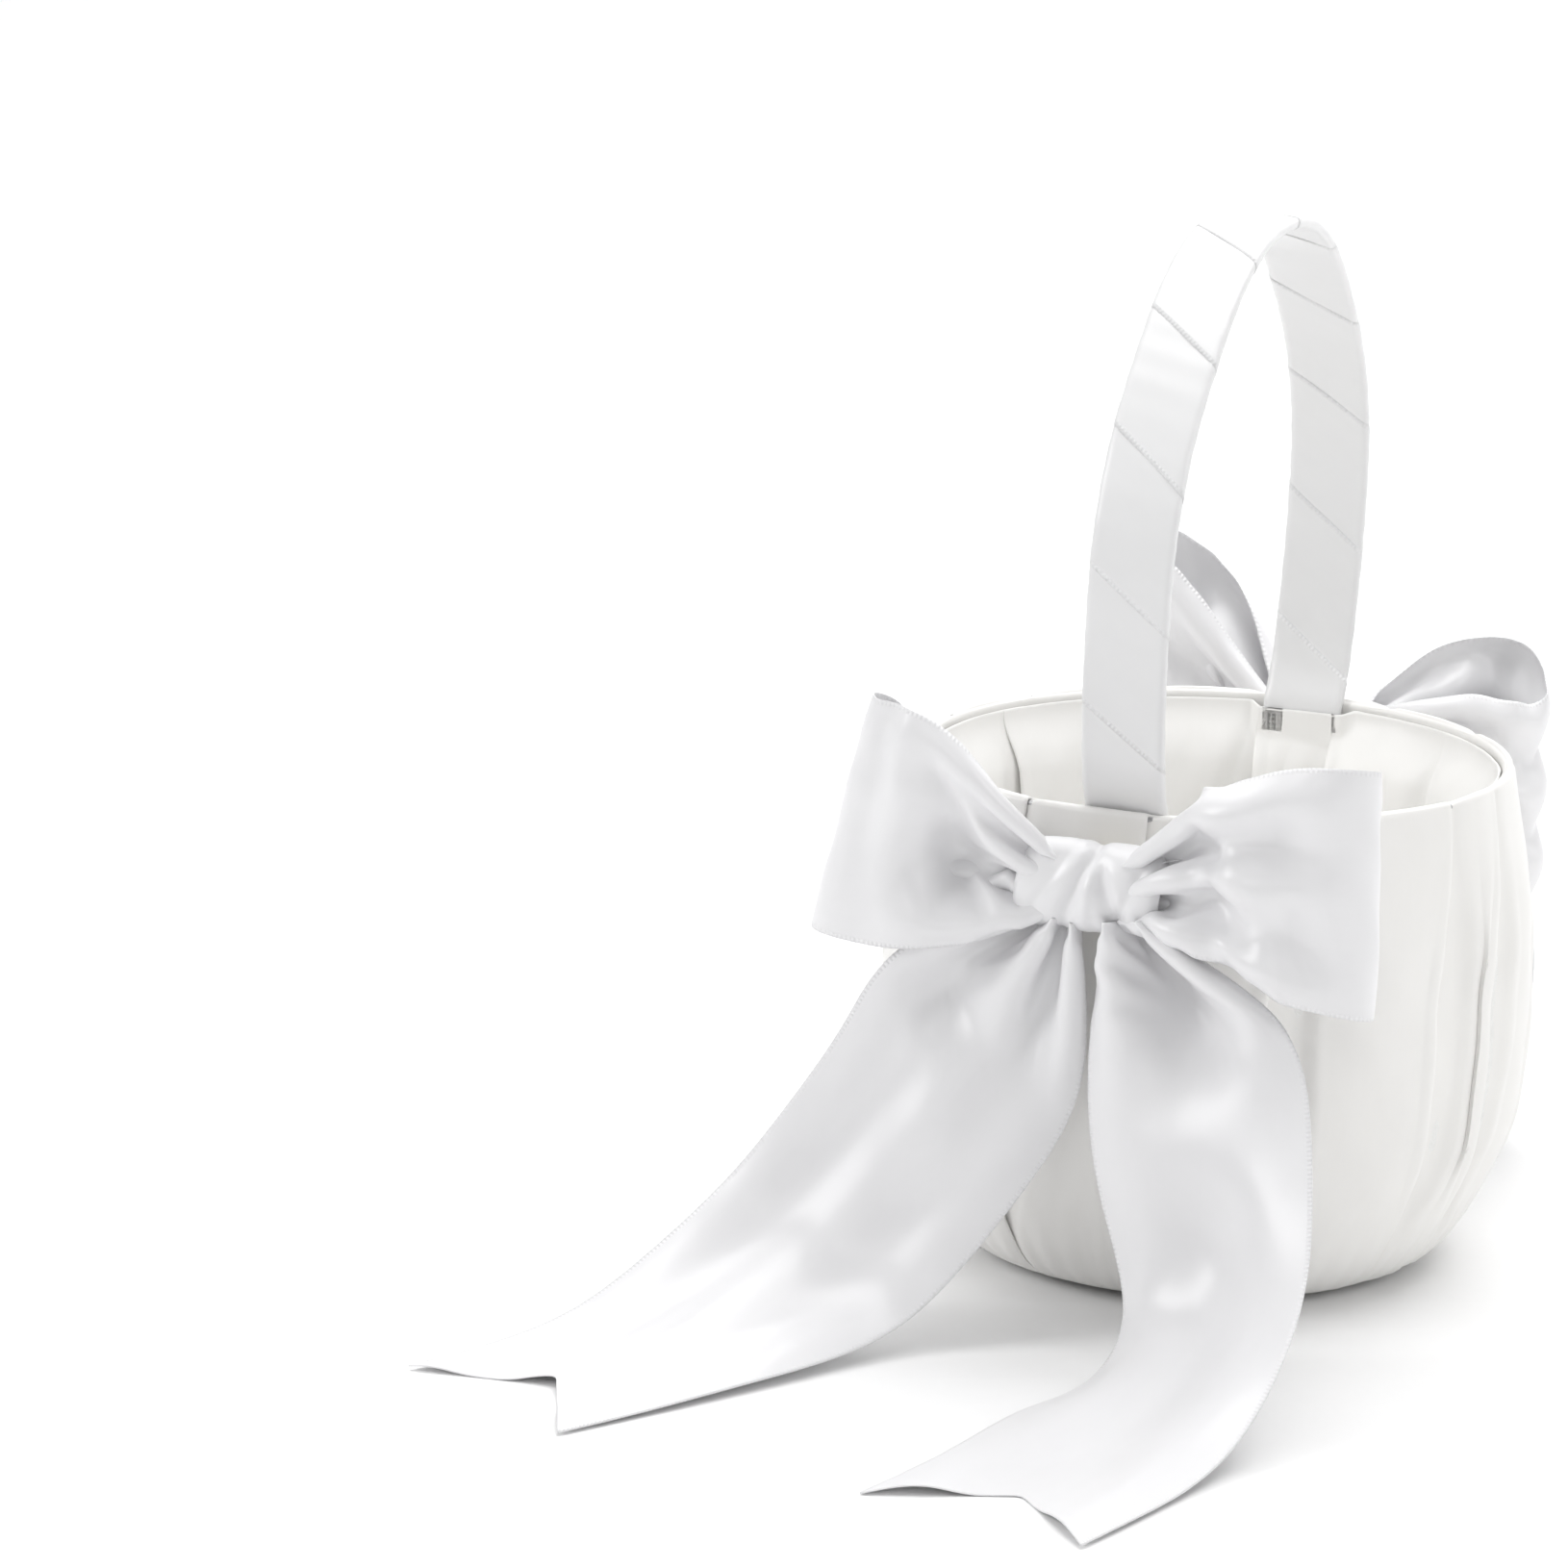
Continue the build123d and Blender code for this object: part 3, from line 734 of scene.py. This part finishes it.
def make_lining():
    """The satin lining: gathered round the floor, up the inside and turned under the rim.

    Returns the piece and its flat size round and up.
    """
    heights = [LINING_FOOT + LINING_T / 2] * 2 + list(np.linspace(6, 18, 9))
    heights += list(np.arange(21, 94, 3.0)) + list(np.linspace(94, RIM_Z - 0.4, 12))
    z = np.array(heights)
    wall_r = LINING_R - LINING_T
    turn = np.clip((BELLY_Z - z) / (BELLY_Z - 4.4), 0, 1)
    radius = FLOOR_EDGE_R + (wall_r - FLOOR_EDGE_R) * np.sqrt(1 - turn ** 2)
    radius[0] = FLOOR_EDGE_R - 1
    above = z > BELLY_Z
    radius[above] = wall_r - 0.6 * smooth(z[above], BELLY_Z, 95)
    run = running_length(np.stack([z, radius], axis=1))
    z = z[:, None]
    table = pleat_table(LINING_PLEATS, LINING_R)
    opening = 0.75 * smooth(RIM_TOP - z, 3, 30) * smooth(z, 12, 40)
    angle, offset, gape = pleat_layout(table, opening, smooth(RIM_TOP - z, 0, 60))
    unfold = smooth(10 - z, 0, 4)
    angle = angle * (1 - unfold) + even_angles(table) * unfold
    inward = (offset + 2.0 * gape + 0.6) * (1 - unfold)
    inward = inward + (0.5 + soft_folds(angle, 1.3 * z)) * smooth(z, 8, 25)
    flare = RIM_FLARE * smooth(z, 92, RIM_Z - 1.5)
    reach = radius[:, None] + flare - inward * (1 - 0.85 * smooth(z, 97, RIM_Z))
    # Over a leg the lining stays inside the band and its edge dips.
    side = np.abs(reach * np.cos(angle) - LEG_SHIFT)
    over_leg = (1 - smooth(side, LEG_HALF_W, LEG_HALF_W + 2.4)) * (np.sin(angle) ** 2 > 0.5)
    flat = LEG_FACE / np.maximum(np.abs(np.sin(angle)), 0.3)
    drawn_in = reach * (1 - over_leg) + np.minimum(reach, flat) * over_leg
    reach = np.where(z > 50, np.minimum(reach, drawn_in), reach)
    height = z - LEG_DIP * over_leg * smooth(z, 94, RIM_Z)
    points = np.stack([reach * np.cos(angle), reach * np.sin(angle), height + 0 * angle], axis=-1)
    uv, around = pleated_uv(points, z[:, 0], run)
    obj = grid_mesh("satin_lining", points, uv, close_v=True)
    finish_cloth(obj, LINING_T)
    return obj, around, run[-1]


# ---- padding ----
WADDING_FOOT, WADDING_TOP = 3.0, 96.0
WADDING_FLAT = (190, 410)  # millimetres up and round, for its grain only
TUCK_ROOM = 2.2  # how much thinner the wadding is under a tuck


def make_wadding():
    """Wadding between the moulded bowl and the cover, thin under each tuck."""
    z = np.linspace(WADDING_FOOT, WADDING_TOP, 48)[:, None]
    angle = np.linspace(0, 2 * math.pi, 360, endpoint=False)[None, :]
    outer = cover_radius(z) - COVER_T - 0.6
    turn = np.clip((BELLY_Z - z) / (BELLY_Z - 3.2), 0, 1)
    form = 42 + (FORM_R - 42) * np.sqrt(1 - turn ** 2)
    form = np.where(z > BELLY_Z, FORM_R - 1.8 * ((z - BELLY_Z) / 45.6) ** 2, form) + 0.12
    for edge, lean, gape in COVER_PLEATS:
        centre = np.radians(edge + lean * smooth(RIM_TOP - z, 0, 45))
        off = np.angle(np.exp(1j * (angle - centre)))
        outer = outer - TUCK_ROOM * gape * bump(off * BELLY_R, 1.0, 7.0)
    fluff = 0.12 * np.sin(23 * angle + 0.4 * z) * np.sin(0.6 * z + 7 * angle)
    outer = np.maximum(outer + fluff, form + 0.1)
    # Up the outside and down the inside.
    radius = np.concatenate([outer, np.broadcast_to(form, outer.shape)[::-1]])
    height = np.broadcast_to(np.concatenate([z, z[::-1]]), radius.shape)
    points = np.stack([radius * np.cos(angle), radius * np.sin(angle), height], axis=-1)
    uv = flat_uv(*radius.shape, *WADDING_FLAT)
    return grid_mesh("wadding_layer", points, uv, close_u=True, close_v=True)


PAD_COLS = 72
PAD_PRESSURE = 4.0
PAD_FRAMES = 14
PAD_MOVE_MAX = 1.6  # most that the simulation may move a point
PAD_CROWN = 1.5


def make_floor_pad():
    """The covered floor cushion, inflated by a cloth simulation and laid flat on its card."""
    bottom = node_box("floor_padding")[0][2]
    section = [(0.01, bottom), (20, bottom), (FLOOR_R - 1.5, bottom)]
    section += [(FLOOR_R - 0.4, bottom + 0.8), (FLOOR_R, bottom + 2.0)]
    section += [(FLOOR_R - 0.6, bottom + 3.4), (FLOOR_R - 2, bottom + 4.2)]
    section += [(24, FLOOR_TOP), (0.01, FLOOR_TOP)]
    turn = np.linspace(0, 2 * math.pi, PAD_COLS, endpoint=False)
    points = np.array([[(r * math.cos(t), r * math.sin(t), z) for t in turn] for r, z in section])
    uv = flat_uv(len(section), PAD_COLS, 100, 267)
    obj = grid_mesh("floor_cushion", points, uv, close_v=True)
    select_only(obj)
    remesh = obj.modifiers.new("remesh", "REMESH")
    remesh.mode = "VOXEL"
    remesh.voxel_size = 2.2 * MM
    bpy.ops.object.modifier_apply(modifier=remesh.name)
    start = mesh_points(obj)
    inflate(obj)
    move = mesh_points(obj) - start
    move *= np.minimum(1, PAD_MOVE_MAX / np.maximum(np.linalg.norm(move, axis=1), 1e-6))[:, None]
    points = start + move
    radius = np.hypot(points[:, 0], points[:, 1])
    angle = np.arctan2(points[:, 1], points[:, 0])
    crown = PAD_CROWN * (1 - (radius / FLOOR_R) ** 2)
    pucker = 0.22 * np.sin(46 * angle + 2 * np.sin(7 * angle)) * smooth(radius, 24, FLOOR_R - 2)
    points[:, 2] += np.where(points[:, 2] > bottom + 2, crown + pucker, 0)
    points[:, 2] = np.maximum(points[:, 2], bottom)
    obj.data.vertices.foreach_set("co", (points * MM).ravel())
    obj.data.update()
    obj.data.polygons.foreach_set("use_smooth", [True] * len(obj.data.polygons))
    soften = obj.modifiers.new("soften", "SMOOTH")
    soften.factor = 0.6
    soften.iterations = 4
    return obj


def mesh_points(obj):
    """An object's mesh points in millimetres."""
    points = np.empty(len(obj.data.vertices) * 3)
    obj.data.vertices.foreach_get("co", points)
    return points.reshape(-1, 3) / MM


def select_only(obj):
    """Make an object the only one selected, and active."""
    for other in bpy.context.view_layer.objects:
        other.select_set(False)
    obj.select_set(True)
    bpy.context.view_layer.objects.active = obj


def inflate(obj):
    """Blow a closed mesh up a little with Blender's cloth, and keep the result."""
    cloth = obj.modifiers.new("inflate", "CLOTH")
    cloth.settings.use_pressure = True
    cloth.settings.uniform_pressure_force = PAD_PRESSURE
    cloth.settings.effector_weights.gravity = 0
    cloth.point_cache.frame_start = 1
    cloth.point_cache.frame_end = PAD_FRAMES
    scene = bpy.context.scene
    for frame_number in range(1, PAD_FRAMES + 1):
        scene.frame_set(frame_number)
    select_only(obj)
    bpy.ops.object.modifier_apply(modifier=cloth.name)
    scene.frame_set(1)


# ---- handle ribbon ----
WRAP_RIBBON_W = 25.0
WRAP_PITCH = 28.5
WRAP_HALF_W = 8.78
WRAP_HALF_T = 1.12
WRAP_LIFT = 0.09  # how far a turn's edge stands on the turn before it
LEAN = math.radians(1.6)
LEAN_PIVOT = 74.0
WRAP_FOOT = 62.0
WRAP_PHASE = 0.8  # where round the band the winding starts
WRAP_CORNER = 0.9  # rounding of the padded band's edges
WRAP_T = 0.07
WRAP_STEP = 0.62  # cell along the ribbon
WRAP_COLS = 21
BAND_T = 1.6  # thickness of the steel band
ARCH_Z = 140.0  # where the legs end and the arch begins


def handle_line():
    """Centre line (y, z) of the steel band, stood upright, from the front foot to the rear."""
    core = frame["nodes"]["handle_core"]
    hits = []
    rays = [((0, z), (1, 0)) for z in np.arange(WRAP_FOOT, ARCH_Z, 2.0)]
    rays += [((0, ARCH_Z), (math.cos(t), math.sin(t))) for t in np.radians(np.arange(0, 89, 2.5))]
    for (y0, z0), (dy, dz) in rays:
        lean_x = (z0 - LEAN_PIVOT) * math.sin(LEAN)
        start = Vector((lean_x, y0, LEAN_PIVOT + (z0 - LEAN_PIVOT) * math.cos(LEAN))) * MM
        way = Vector((dz * math.sin(LEAN), dy, dz * math.cos(LEAN))).normalized()
        ok, near, _, _ = core.ray_cast(start, way)
        ok_far, far, _, _ = core.ray_cast(near + way * 0.1 * MM, way)
        if ok and ok_far:
            point = (near + far) / 2 / MM
            up = point.x * math.sin(LEAN) + (point.z - LEAN_PIVOT) * math.cos(LEAN) + LEAN_PIVOT
            hits.append((point.y, up))
    hits = np.array(hits)
    top = node_box("handle_core")[1][2]
    crown = (top - LEAN_PIVOT - WRAP_HALF_W * math.sin(LEAN)) / math.cos(LEAN) + LEAN_PIVOT
    return np.concatenate([hits * [-1, 1], [(0.0, crown - BAND_T / 2)], hits[::-1]])


def make_wrap():
    """Narrow ribbon wound on a slant round the handle's band, each turn lapping the last."""
    line = handle_line()
    run = running_length(line)
    corner = WRAP_CORNER
    flat_x, flat_y = WRAP_HALF_W - corner, WRAP_HALF_T - corner
    around = 4 * (flat_x + flat_y) + 2 * math.pi * corner
    slope = math.atan2(WRAP_PITCH, around)
    length = (run[-1] - WRAP_RIBBON_W * math.cos(slope)) / math.sin(slope)
    rows = int(length / WRAP_STEP)
    p = np.linspace(0, length, rows)[:, None]
    q = np.linspace(0, WRAP_RIBBON_W, WRAP_COLS)[None, :]
    s = (p * math.sin(slope) + q * math.cos(slope)).ravel()
    u = p * math.cos(slope) - q * math.sin(slope) + WRAP_PHASE * around
    lap = WRAP_RIBBON_W - WRAP_PITCH * math.cos(slope)
    lift = WRAP_LIFT * (1 - smooth(q, 0.6 * lap, 2.6 * lap)) + 0 * p
    lift = lift + 0.05 * np.sin(0.35 * p + 0.8 * q) * smooth(q, 0, 6)
    # The band's rounded section, from the middle of the outer face towards -X: the way
    # round it at each point, then across, out and the direction that faces away.
    ring_u, ring = [], []
    quarter = math.pi / 2 * corner
    corners = [(-flat_x, flat_y), (-flat_x, -flat_y), (flat_x, -flat_y), (flat_x, flat_y)]
    at = flat_x
    for turn, (cx, cy) in enumerate(corners):
        for step in np.linspace(0, 1, 7):
            a = math.pi / 2 * (turn + step)
            nx, ny = -math.sin(a), math.cos(a)
            ring_u.append(at + step * quarter)
            ring.append((cx + corner * nx, cy + corner * ny, nx, ny))
        at += quarter + 2 * (flat_x if turn % 2 else flat_y)
    ring_u = np.array([ring_u[-1] - around] + ring_u + [ring_u[0] + around])
    ring = np.array([ring[-1]] + ring + [ring[0]])
    across, out, nx, ny = (np.interp(np.mod(u, around), ring_u, ring[:, k]) for k in range(4))
    across = across + lift * nx
    out = out + lift * ny
    step = 0.5
    along = unit(natural_curve(run, line, s + step) - natural_curve(run, line, s - step))
    normal = np.stack([-along[:, 1], along[:, 0]], axis=1)
    centre = natural_curve(run, line, s) + normal * out.ravel()[:, None]
    x, z = across.ravel(), centre[:, 1] - LEAN_PIVOT
    leaned = np.stack([
        x * math.cos(LEAN) + z * math.sin(LEAN), centre[:, 0],
        -x * math.sin(LEAN) + z * math.cos(LEAN) + LEAN_PIVOT,
    ], axis=1)
    uv = flat_uv(rows, WRAP_COLS, length, WRAP_RIBBON_W)
    obj = grid_mesh("handle_wrap_ribbon", leaned.reshape(rows, WRAP_COLS, 3), uv)
    finish_cloth(obj, WRAP_T, level=0)
    return obj, length


# ---- materials ----
class Surface:
    """A new material and short ways to add shader nodes to it."""

    def __init__(self, name):
        self.material = bpy.data.materials.new(name)
        self.material.use_nodes = True
        self.tree = self.material.node_tree
        self.shader = self.tree.nodes["Principled BSDF"]

    def feed(self, socket, value):
        """Link a socket to a node's output, or set it to a constant."""
        if isinstance(value, bpy.types.NodeSocket):
            self.tree.links.new(value, socket)
        else:
            socket.default_value = value

    def add(self, kind, result, inputs):
        """Add a node with these inputs; returns the output named result."""
        node = self.tree.nodes.new(kind)
        for key, value in inputs.items():
            self.feed(node.inputs[key], value)
        return node.outputs[result]

    def noise(self, vector, scale, detail=3.0, roughness=0.55):
        return self.add("ShaderNodeTexNoise", "Fac", {
            "Vector": vector, "Scale": scale, "Detail": detail, "Roughness": roughness,
        })

    def mapped(self, vector, scale):
        return self.add("ShaderNodeMapping", "Vector", {"Vector": vector, "Scale": scale})

    def bumps(self, height, strength, distance, **normal):
        return self.add("ShaderNodeBump", "Normal", {
            "Height": height, "Strength": strength, "Distance": distance, **normal,
        })

    def math(self, operation, *values):
        node = self.tree.nodes.new("ShaderNodeMath")
        node.operation = operation
        for socket, value in zip(node.inputs, values):
            self.feed(socket, value)
        return node.outputs[0]

    def ramp(self, source, stops):
        """Colour between two stops of (place, colour)."""
        ramp = self.tree.nodes.new("ShaderNodeValToRGB")
        for element, (place, colour) in zip(ramp.color_ramp.elements, stops):
            element.position = place
            element.color = (*colour, 1)
        self.feed(ramp.inputs["Fac"], source)
        return ramp.outputs["Color"]


THREAD_BUMP = (0.05, 0.00006)  # strength and distance in metres
PICOT_BUMP = (0.5, 0.00022)
PICOT_W = 1.0  # how far the picots reach in from the edge, and their pitch
PICOT_PITCH = 1.0


def satin(name, dark, light, roughness, ior, sheen, width=None):
    """Satin: floats that shine along the cloth, cross threads, and picots if width is given."""
    surface = Surface(name)
    shader = surface.shader
    uv = surface.tree.nodes.new("ShaderNodeUVMap")
    uv.uv_map = "cloth"
    cloth = uv.outputs["UV"]
    tone = surface.noise(surface.mapped(cloth, (3, 9, 1)), 3.0, 4.0)
    streak = surface.noise(surface.mapped(cloth, (6, 260, 1)), 4.0, 2.0)
    mix = surface.math("MULTIPLY_ADD", streak, 0.45, surface.math("MULTIPLY", tone, 0.55))
    surface.feed(shader.inputs["Base Color"], surface.ramp(mix, [(0.3, dark), (0.7, light)]))
    rough = surface.add("ShaderNodeMapRange", "Result", {
        "Value": mix, "From Min": 0.3, "From Max": 0.7,
        "To Min": roughness - 0.02, "To Max": roughness + 0.02,
    })
    surface.feed(shader.inputs["Roughness"], rough)
    shader.inputs["IOR"].default_value = ior
    shader.inputs["Anisotropic"].default_value = 0.5
    shader.inputs["Sheen Weight"].default_value = sheen
    shader.inputs["Sheen Roughness"].default_value = 0.4
    threads = surface.noise(surface.mapped(cloth, (40, 420, 1)), 8.0, 2.0)
    normal = surface.bumps(threads, *THREAD_BUMP)
    if width:
        split = surface.tree.nodes.new("ShaderNodeSeparateXYZ")
        surface.feed(split.inputs["Vector"], cloth)
        place = surface.math("MULTIPLY", split.outputs["Y"], 1 / (width * UV_PER_MM))
        fold = surface.math("ABSOLUTE", surface.math("SUBTRACT", place, 0.5))
        edge = surface.math("GREATER_THAN", fold, 0.5 - PICOT_W / width)
        turn = 2 * math.pi / (PICOT_PITCH * UV_PER_MM)
        pitch = surface.math("MULTIPLY", split.outputs["X"], turn)
        dots = surface.math("MULTIPLY_ADD", surface.math("SINE", pitch), 0.5, 0.5)
        picots = surface.math("MULTIPLY", edge, dots)
        normal = surface.bumps(picots, *PICOT_BUMP, Normal=normal)
    surface.feed(shader.inputs["Normal"], normal)
    return surface.material


GRAIN_DISTANCE = 0.0004


def fibrous(name, dark, light, scale, roughness, relief, metal=0.0, stretch=(1, 1, 1)):
    """A matt or metal surface with grain: board, card, wadding, steel or glue."""
    surface = Surface(name)
    shader = surface.shader
    position = surface.tree.nodes.new("ShaderNodeNewGeometry").outputs["Position"]
    vector = surface.mapped(position, stretch)
    coarse = surface.noise(vector, scale, 5.0, 0.6)
    fine = surface.noise(vector, scale * 6, 3.0, 0.6)
    mix = surface.math("MULTIPLY_ADD", fine, 0.4, surface.math("MULTIPLY", coarse, 0.6))
    surface.feed(shader.inputs["Base Color"], surface.ramp(mix, [(0.32, dark), (0.68, light)]))
    rough = surface.math("MULTIPLY_ADD", coarse, 0.2, roughness - 0.1)
    surface.feed(shader.inputs["Roughness"], rough)
    shader.inputs["Metallic"].default_value = metal
    surface.feed(shader.inputs["Normal"], surface.bumps(mix, relief, GRAIN_DISTANCE))
    return surface.material


# ---- build ----
# Satins: darkest and lightest tone, roughness, IOR, sheen and a ribbon's width.
SATINS = {name: satin(name, *look) for name, look in {
    "ribbon_satin": ((0.835, 0.832, 0.843), (0.85, 0.847, 0.858), 0.31, 1.6, 0.03, RIBBON_W),
    "wrap_satin": ((0.835, 0.835, 0.838), (0.85, 0.85, 0.853), 0.32, 1.6, 0.03, WRAP_RIBBON_W),
    "cover_satin": ((0.862, 0.852, 0.83), (0.882, 0.873, 0.853), 0.36, 1.65, 0.08),
    # The lining's satin is the cover's ivory painted lighter, to offset the shade that falls inside
    # the basket.
    "lining_satin_painted_light": ((0.93, 0.922, 0.902), (0.945, 0.938, 0.92), 0.4, 1.55, 0.08),
}.items()}
# Other finishes: darkest and lightest tone, scale of the grain, roughness,
# relief, metal, and how much the grain is stretched.
FINISHES = {name: fibrous(name, *look) for name, look in {
    "moulded_board": ((0.50, 0.44, 0.35), (0.66, 0.60, 0.50), 160, 0.85, 0.5),
    "white_card": ((0.78, 0.77, 0.74), (0.88, 0.87, 0.85), 260, 0.75, 0.25),
    "wadding": ((0.82, 0.82, 0.80), (0.92, 0.92, 0.91), 420, 0.95, 0.8),
    "rim_steel": ((0.42, 0.42, 0.43), (0.60, 0.60, 0.61), 500, 0.38, 0.15, 1.0),
    "handle_steel": ((0.45, 0.45, 0.46), (0.62, 0.62, 0.62), 90, 0.35, 0.2, 1.0, (1, 14, 1)),
    "rivet_aluminium": ((0.66, 0.66, 0.67), (0.80, 0.80, 0.81), 300, 0.3, 0.15, 1.0),
    "glue": ((0.70, 0.64, 0.48), (0.80, 0.75, 0.60), 220, 0.28, 0.5),
}.items()}


def add_piece(obj, material, slot_name, *nodes):
    """Give a piece its material, and let it ride and stand for its CAD nodes; slot_name is not used.
    """
    obj.data.materials.append(material)
    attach(obj, "root")
    if nodes:
        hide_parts(*nodes)


for side_name in ("front", "rear"):
    for node_name, (piece, length) in make_bow(side_name).items():
        add_piece(piece, SATINS["ribbon_satin"], "white_ribbon", node_name)
        if node_name.endswith("knot"):
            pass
        elif node_name.endswith("loop"):
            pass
        else:
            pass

wrap, wrap_length = make_wrap()
add_piece(wrap, SATINS["wrap_satin"], "white_ribbon", "handle_ribbon_wrap")

cover, cover_around, cover_high = make_cover()
add_piece(cover, SATINS["cover_satin"], "ivory_satin", "outer_cover")

lining, lining_around, lining_high = make_lining()
add_piece(lining, SATINS["lining_satin_painted_light"], "ivory_satin", "inner_lining")

wadding = make_wadding()
add_piece(wadding, FINISHES["wadding"], "wadding", "outer_wadding")

# The floor cushion takes the lining's satin, painted lighter against the shade inside the basket.
cushion = make_floor_pad()
add_piece(cushion, SATINS["lining_satin_painted_light"], "ivory_satin", "floor_cover")

# The other CAD nodes keep their shape and take a finish.
NODE_LOOKS = {
    "basket_form": "moulded_board", "rim_wire": "rim_steel", "inner_wadding": "wadding",
    "underside_disc": "white_card", "floor_card": "white_card", "floor_padding": "wadding",
    "handle_core": "handle_steel", "front_handle_rivets": "rivet_aluminium",
    "rear_handle_rivets": "rivet_aluminium", "front_bow_glue_pad": "glue", "rear_bow_glue_pad": "glue",
}
for node_name, finish in NODE_LOOKS.items():
    for material_slot in frame["nodes"][node_name].material_slots:
        material_slot.material = FINISHES[finish]


# ---- stage, light and camera ----
SWEEP_HALF, SWEEP_START, SWEEP_BEND, SWEEP_TOP = 6.0, 2.0, 1.5, 6.0


def make_floor():
    """A pale sweep: flat floor that curves up far behind the object, in metres."""
    points = [(-SWEEP_HALF, 0.0), (SWEEP_START, 0.0)]
    for a in np.linspace(0.1, math.pi / 2, 12):
        points.append((SWEEP_START + SWEEP_BEND * math.sin(a), SWEEP_BEND * (1 - math.cos(a))))
    points.append((SWEEP_START + SWEEP_BEND, SWEEP_TOP))
    columns = np.linspace(-SWEEP_HALF, SWEEP_HALF, 5)
    grid = np.array([[(x, y, z) for x in columns] for y, z in points]) / MM
    floor = grid_mesh("studio_floor", grid, flat_uv(len(points), len(columns), 9000, 12000))
    paper = fibrous("studio_paper", (0.93, 0.93, 0.93), (0.95, 0.95, 0.95), 40, 0.9, 0.02)
    floor.data.materials.append(paper)


# Lights: place and aim in metres, size and power in watts.
LIGHTS = {
    "overhead": ((0.0, 0.3, 1.5), (0, 0, 0.05), (1.8, 1.4), 21),
    "left_window": ((-1.2, -0.9, 0.9), (0, 0, 0.1), (0.6, 0.9), 9.0),
    "right_window": ((1.4, -0.3, 0.7), (0, 0, 0.1), (0.5, 1.0), 4.5),
    "front_fill": ((0.5, -1.7, 1.1), (0, 0, 0.1), (0.8, 0.5), 1.6),
    "backdrop_wash": ((0.0, 2.2, 2.6), (0, 3.2, 0.8), (3.0, 0.6), 60),
}
WORLD_STRENGTH = 0.31


def soft_box(name, place, aim, size, power):
    """A rectangular white light that faces aim."""
    light = bpy.data.lights.new(name, "AREA")
    light.shape = "RECTANGLE"
    light.size, light.size_y = size
    light.energy = power
    obj = bpy.data.objects.new(name, light)
    bpy.context.collection.objects.link(obj)
    obj.location = place
    obj.rotation_euler = (Vector(aim) - Vector(place)).to_track_quat("-Z", "Y").to_euler()


CAMERA_PLACE = (0.44611, -1.37829, 0.43651)
CAMERA_ANGLES = (21.514, 13.183, 1.5308)  # heading, pitch and roll in degrees
CAMERA_LENS = 161.53


def make_camera():
    """Long lens from the front right, a little above."""
    heading, pitch, roll = (math.radians(angle) for angle in CAMERA_ANGLES)
    level = Vector((math.cos(heading), math.sin(heading), 0))
    flat = math.cos(pitch)
    forward = Vector((-math.sin(heading) * flat, math.cos(heading) * flat, -math.sin(pitch)))
    rise = level.cross(forward)
    right = level * math.cos(roll) + rise * math.sin(roll)
    up = rise * math.cos(roll) - level * math.sin(roll)
    camera = bpy.data.cameras.new("camera")
    camera.lens = CAMERA_LENS
    camera.sensor_width = 36.0
    camera.clip_end = 50
    obj = bpy.data.objects.new("camera", camera)
    bpy.context.collection.objects.link(obj)
    turn = Matrix((right, up, -forward)).transposed().to_4x4()
    obj.matrix_world = Matrix.Translation(CAMERA_PLACE) @ turn
    bpy.context.scene.camera = obj


make_floor()
for light_name, light_setup in LIGHTS.items():
    soft_box(light_name, *light_setup)
world = bpy.data.worlds.new("studio")
world.use_nodes = True
world.node_tree.nodes["Background"].inputs["Color"].default_value = (1, 1, 1, 1)
world.node_tree.nodes["Background"].inputs["Strength"].default_value = WORLD_STRENGTH
bpy.context.scene.world = world
bpy.context.scene.view_settings.view_transform = "Standard"
make_camera()
